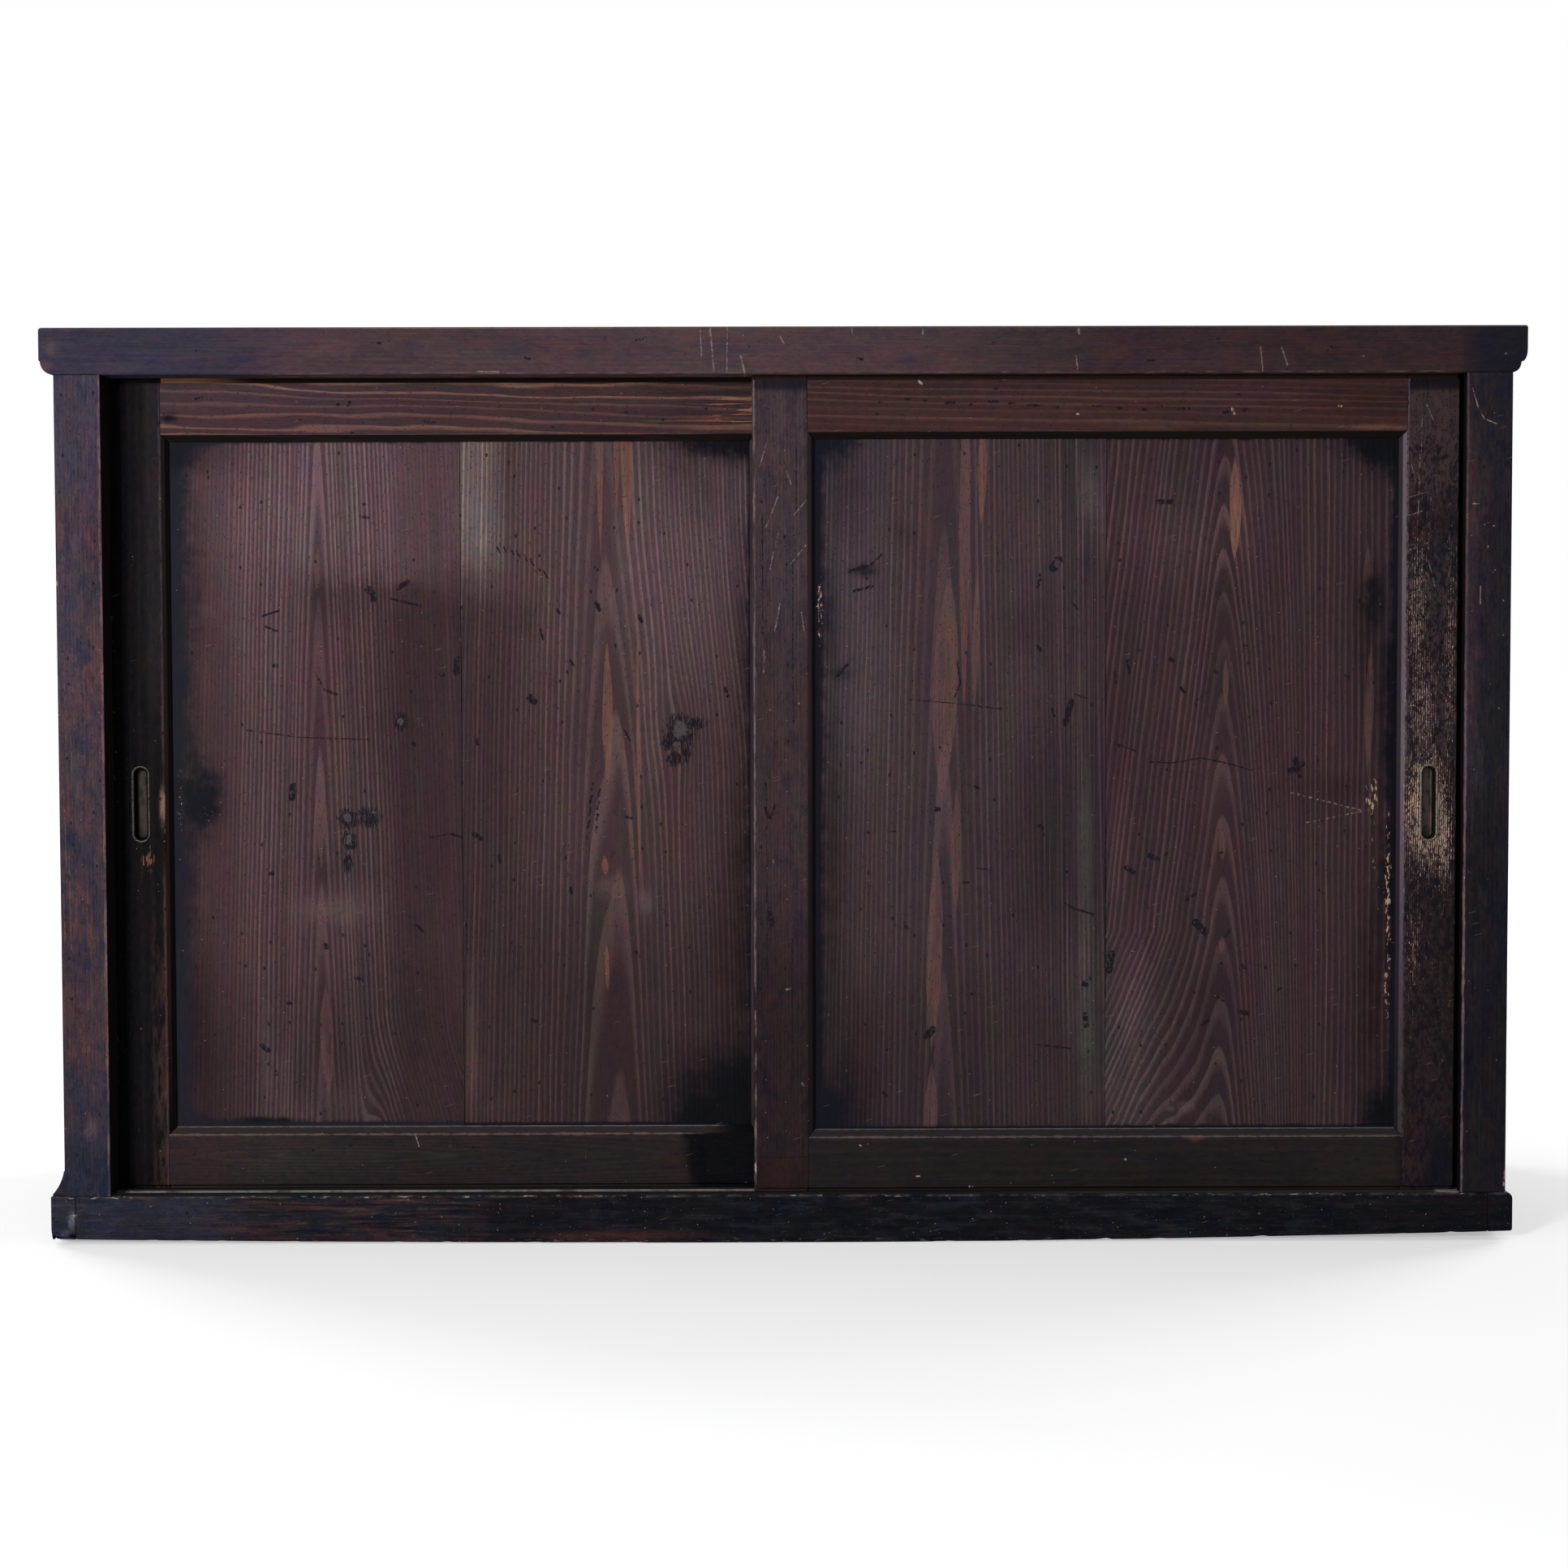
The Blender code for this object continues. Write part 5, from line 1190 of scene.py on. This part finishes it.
def dress_boards():
    """Gives every wooden CAD node its material."""
    for name, thing in nodes.items():
        if name in front_boards:
            material = front_material(name)
        elif name in plain_boards:
            material = plain_board(name, *plain_boards[name])
        elif "side_board" in name:
            material = side_board(name)
        elif name.startswith(("floor_", "shelf_", "back_board")) or name.endswith("batten"):
            material = bare_board(name)
        else:
            continue
        thing.data.materials.clear()
        thing.data.materials.append(material)


def soften_arrises():
    """Rounds the sharp edges of the wooden CAD nodes a little."""
    for name, thing in nodes.items():
        if name.endswith("finger_pull"):
            continue
        weld = thing.modifiers.new("weld", "WELD")
        weld.merge_threshold = weld_distance
        bevel = thing.modifiers.new("arris", "BEVEL")
        bevel.width = arris_width
        bevel.segments = arris_segments
        bevel.limit_method = "ANGLE"
        bevel.angle_limit = arris_angle
        normals = thing.modifiers.new("normals", "WEIGHTED_NORMAL")
        normals.keep_sharp = True


def add_object(name, data):
    """A new object in the scene."""
    thing = bpy.data.objects.new(name, data)
    bpy.context.scene.collection.objects.link(thing)
    return thing


def add_piece(name, shape, material):
    """A new piece of the chest from a finished shape."""
    mesh = bpy.data.meshes.new(name)
    shape.to_mesh(mesh)
    shape.free()
    mesh.materials.append(material)
    return add_object(name, mesh)


# Finger pulls: levels from the back of the cup out over the lip and down to the floor: (inset, depth)
pull_corner = 0.0073
pull_levels = (
    (0.0016, 0.0088), (0.0014, 0.0000), (0.0000, -0.0002), (-0.0001, -0.0006), (0.0003, -0.0010),
    (0.0009, -0.0011), (0.0015, -0.0009), (0.0019, -0.0003), (0.0021, 0.0010), (0.0024, 0.0050),
    (0.0027, 0.0070), (0.0035, 0.0081), (0.0048, 0.0084))
# Pull colours darkened as painted shade, the left pull most.
pull_shade = {"left": 0.32, "right": 0.85}


def pull_metal(side, face):
    """Old brass: green and brown in the cup, a rosy floor where fingers reach, a bright lip, darkened by
    painted shade.
    """
    wood = Wood(f"{side}_finger_pull", "z", "x", (face, 1.0, 1.0, 0.0), 0.30)
    z, depth = wood.axis["z"], wood.axis["y"] - face
    cloudy = cloud(wood.point, (4, 4, 11), 4, 0.6)
    wood.colour = blend((12, 13, 9), (34, 23, 19), ramp(cloudy, 0.40, 0.62))
    wood.height = cloudy
    wood.lay((56, 36, 32), ramp(depth, 6.5, 8.2) * ramp(cloudy, 0.36, 0.56)
             * ramp(z, 333, 345) * ramp(z, 392, 380) * 0.85)
    wood.lay((12, 14, 9), between(depth, 0.6, 2, 7.8, 5.5) * 0.7)
    wood.lay((210, 180, 150), ramp(depth, 0.1, -0.35) * ramp(wood.rough, -0.20, 0.08) * 0.8)
    wood.specks((10, 10, 8), 3.4, 0.5, 0.4, 0.8)
    # Painted shade over the whole pull.
    wood.colour = scaled(wood.colour, pull_shade[side])
    wood.shader.inputs["Metallic"].default_value = 0.75
    return wood.finish(0.50, 0.10)


def round_outline(half_width, half_height, radius, steps=8):
    """Points of a rounded rectangle in (x, z), anticlockwise."""
    radius = min(radius, half_width, half_height)
    points = []
    for corner, (side_x, side_z) in enumerate(((1, 1), (-1, 1), (-1, -1), (1, -1))):
        for step in range(steps + 1):
            angle = math.radians(90.0) * (corner + step / steps)
            points.append((side_x * (half_width - radius) + radius * math.cos(angle),
                           side_z * (half_height - radius) + radius * math.sin(angle)))
    return points


def make_pull(side, face):
    """A pressed cup with a rolled lip, in place of the plain one."""
    name = f"{side}_door_finger_pull"
    low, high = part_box(name)
    middle_x, middle_z = (low[0] + high[0]) / 2, (low[2] + high[2]) / 2
    half_x, half_z = (high[0] - low[0]) / 2, (high[2] - low[2]) / 2
    shape = bmesh.new()
    rows = []
    for inset, depth in pull_levels:
        outline = round_outline(half_x - inset, half_z - inset, pull_corner - inset)
        rows.append([shape.verts.new((middle_x + x, face / MILLIMETRES + depth, middle_z + z))
                     for x, z in outline])
    count = len(rows[0])
    for first, second in zip(rows, rows[1:]):
        for index in range(count):
            after = (index + 1) % count
            shape.faces.new((first[index], second[index], second[after], first[after]))
    shape.faces.new(rows[-1])
    shape.faces.new(list(reversed(rows[0])))
    bmesh.ops.recalc_face_normals(shape, faces=shape.faces)
    for part in shape.faces:
        part.smooth = len(part.verts) == 4
    piece = add_piece(f"{side}_pull_cup", shape, pull_metal(side, face))
    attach(piece, f"{side}_door")
    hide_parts(name)


# Wear of the base, in metres: a rubbed lower left corner, a foot lifted towards both ends, and chips
base_round = 0.0010
base_corner = (0.0080, 0.0120)
base_corner_cuts = (1, 2, 5)
base_corner_depth = 0.12
base_half_width = 0.6
front_place = -0.2
lift_left, lift_left_power = 0.0042, 2.2
lift_right, lift_right_power = 0.0076, 2.0
lift_depth, least_lift = 0.34, 0.25
foot_top, sill_height, sill_front = 0.004, 0.036, -0.197
foot_chip, foot_wave, sill_drop, sill_dent = 0.0022, 0.0003, 0.0011, 0.0009
unworn_middle = 0.12
chip_fineness, wave_fineness, chip_level = 70.0, 14.0, 0.18
cut_tolerance = 0.00001
flat_angle = math.radians(1.0)
worn_shading = math.radians(34.0)

# Rails of the base: (name, axis that it runs along, distance between its cuts)
base_rails = (
    ("plinth_front_rail", "x", 0.005), ("plinth_left_rail", "y", 0.008), ("plinth_right_rail", "y", 0.008))


def base_lift(x, y):
    """How far the worn foot of the base stands off the floor."""
    rise = (lift_left * (max(-x, 0.0) / base_half_width) ** lift_left_power
            + lift_right * (max(x, 0.0) / base_half_width) ** lift_right_power)
    return rise * max(1.0 - (y - front_place) / lift_depth, least_lift)


def cut_across(shape, axis, place):
    """Gives a shape edges where it crosses a plane square to an axis."""
    spot, direction = [0.0, 0.0, 0.0], [0.0, 0.0, 0.0]
    spot[axis] = place
    direction[axis] = 1.0
    everything = shape.verts[:] + shape.edges[:] + shape.faces[:]
    bmesh.ops.bisect_plane(shape, geom=everything, dist=cut_tolerance, plane_co=spot, plane_no=direction)


def rub_corner(vert, end):
    """Draws a point of the lower left corner in to a quarter of an ellipse, most at the front."""
    right, up = (vert.co.x - end) / base_corner[0] - 1.0, vert.co.z / base_corner[1] - 1.0
    reach = math.hypot(right, up)
    if right < 0.0 and up < 0.0 and reach > 1.0:
        share = min(max(1.0 - (vert.co.y - front_place) / base_corner_depth, 0.0), 1.0)
        vert.co.x += (right / reach - right) * base_corner[0] * share
        vert.co.z += (up / reach - up) * base_corner[1] * share


def worn_base(name, letter, step):
    """A copy of a rail of the base, cut across every few millimetres and rubbed into shape."""
    low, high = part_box(name)
    at_left_end = low[0] < -base_half_width
    shape = bmesh.new()
    shape.from_mesh(nodes[name].data)
    bmesh.ops.remove_doubles(shape, verts=shape.verts, dist=weld_distance)
    bmesh.ops.dissolve_limit(shape, angle_limit=flat_angle, verts=shape.verts, edges=shape.edges)
    sharp = [edge for edge in shape.edges
             if len(edge.link_faces) == 2 and edge.calc_face_angle() > arris_angle]
    bmesh.ops.bevel(shape, geom=sharp, offset=base_round, segments=2, profile=0.5, affect="EDGES",
                    clamp_overlap=True)
    axis = AXES.index(letter)
    for index in range(1, int((high[axis] - low[axis]) / step)):
        cut_across(shape, axis, low[axis] + index * step)
    if at_left_end:
        for axis, end, size in ((0, low[0], base_corner[0]), (2, 0.0, base_corner[1])):
            for divisor in base_corner_cuts:
                cut_across(shape, axis, end + size / divisor)
    for vert in shape.verts:
        z = vert.co.z
        if at_left_end:
            rub_corner(vert, low[0])
        x, y, z = vert.co
        chip = smooth_noise.noise(Vector((x * chip_fineness, y * chip_fineness, 3.0))) - chip_level
        chip = max(chip, 0.0)
        wave = smooth_noise.noise(Vector((x * wave_fineness, y * wave_fineness, 9.0)))
        if z < foot_top:
            rough = foot_chip * chip + foot_wave * (wave + 1.0)
            vert.co.z += base_lift(x, y) + rough * (abs(x) > unworn_middle)
        elif z > sill_height and y < sill_front:
            vert.co.z -= sill_drop * chip
            vert.co.y += sill_dent * chip
    for part in shape.faces:
        part.smooth = True
    piece = add_piece(f"{name}_worn", shape, nodes[name].data.materials[0])
    piece.data.set_sharp_from_angle(angle=worn_shading)
    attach(piece, "case")
    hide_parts(name)


def make_lights():
    """A lamp at the left of the view, an even one overhead, and two for the back."""
    for name, (place, aim, size, power, colour) in lamps.items():
        light = bpy.data.lights.new(name, "AREA")
        light.shape = "RECTANGLE"
        light.size, light.size_y = size
        light.energy = power
        light.color = colour
        lamp = add_object(name, light)
        lamp.location = place
        lamp.rotation_euler = (Vector(aim) - Vector(place)).to_track_quat("-Z", "Y").to_euler()


def seen_directly(tree):
    """1 where a camera, mirror or glass ray arrives, else 0."""
    path = tree.nodes.new("ShaderNodeLightPath")
    camera, glossy, clear = (Field(path.outputs[f"Is {kind} Ray"])
                             for kind in ("Camera", "Glossy", "Transmission"))
    return compute("MAXIMUM", camera, compute("MAXIMUM", glossy, clear))


def make_world():
    """White to look at, and a low even light on the object."""
    world = bpy.data.worlds.new("studio")
    bpy.context.scene.world = world
    world.use_nodes = True
    tree = world.node_tree
    background = tree.nodes["Background"]
    background.inputs["Color"].default_value = (1.0, 1.0, 1.0, 1.0)
    feed(background.inputs["Strength"], seen_directly(tree) * (1.0 - ambient_level) + ambient_level)


def make_floor():
    """A wide pale floor that keeps the object's shadow."""
    mesh = bpy.data.meshes.new("studio_floor")
    corners = [(x * floor_reach, y * floor_reach, 0.0) for x, y in ((-1, -1), (1, -1), (1, 1), (-1, 1))]
    mesh.from_pydata(corners, [], [(0, 1, 2, 3)])
    floor = add_object("studio_floor", mesh)
    material = bpy.data.materials.new("studio_floor")
    material.use_nodes = True
    tree = material.node_tree
    shader = tree.nodes["Principled BSDF"]
    shader.inputs["Base Color"].default_value = (*floor_colour, 1.0)
    shader.inputs["Roughness"].default_value = 1.0
    shader.inputs["Specular IOR Level"].default_value = 0.0
    shader.inputs["Emission Color"].default_value = (1.0, 1.0, 1.0, 1.0)
    spot = Field(tree.nodes.new("ShaderNodeTexCoord").outputs["Object"])
    lift = ramp(compute_vector("LENGTH", spot), *floor_fade) * (1.0 - floor_lift) + floor_lift
    feed(shader.inputs["Emission Strength"], seen_directly(tree) * lift)
    mesh.materials.append(material)


def make_camera():
    """The photograph's view."""
    data = bpy.data.cameras.new("camera")
    data.lens = camera_lens
    data.sensor_width = sensor_width
    data.sensor_fit = "HORIZONTAL"
    camera = add_object("camera", data)
    turn = Matrix.Rotation(math.radians(camera_turn), 4, "Z")
    tilt = Matrix.Rotation(math.radians(90.0 - camera_pitch_down), 4, "X")
    roll = Matrix.Rotation(math.radians(camera_roll), 4, "Z")
    camera.matrix_world = Matrix.Translation(camera_place) @ turn @ tilt @ roll
    bpy.context.scene.camera = camera


dress_boards()
for side in ("left", "right"):
    make_pull(side, door_face[side][0])
for rail in base_rails:
    worn_base(*rail)
soften_arrises()
make_lights()
make_world()
make_floor()
make_camera()
bpy.context.scene.view_settings.view_transform = "Standard"
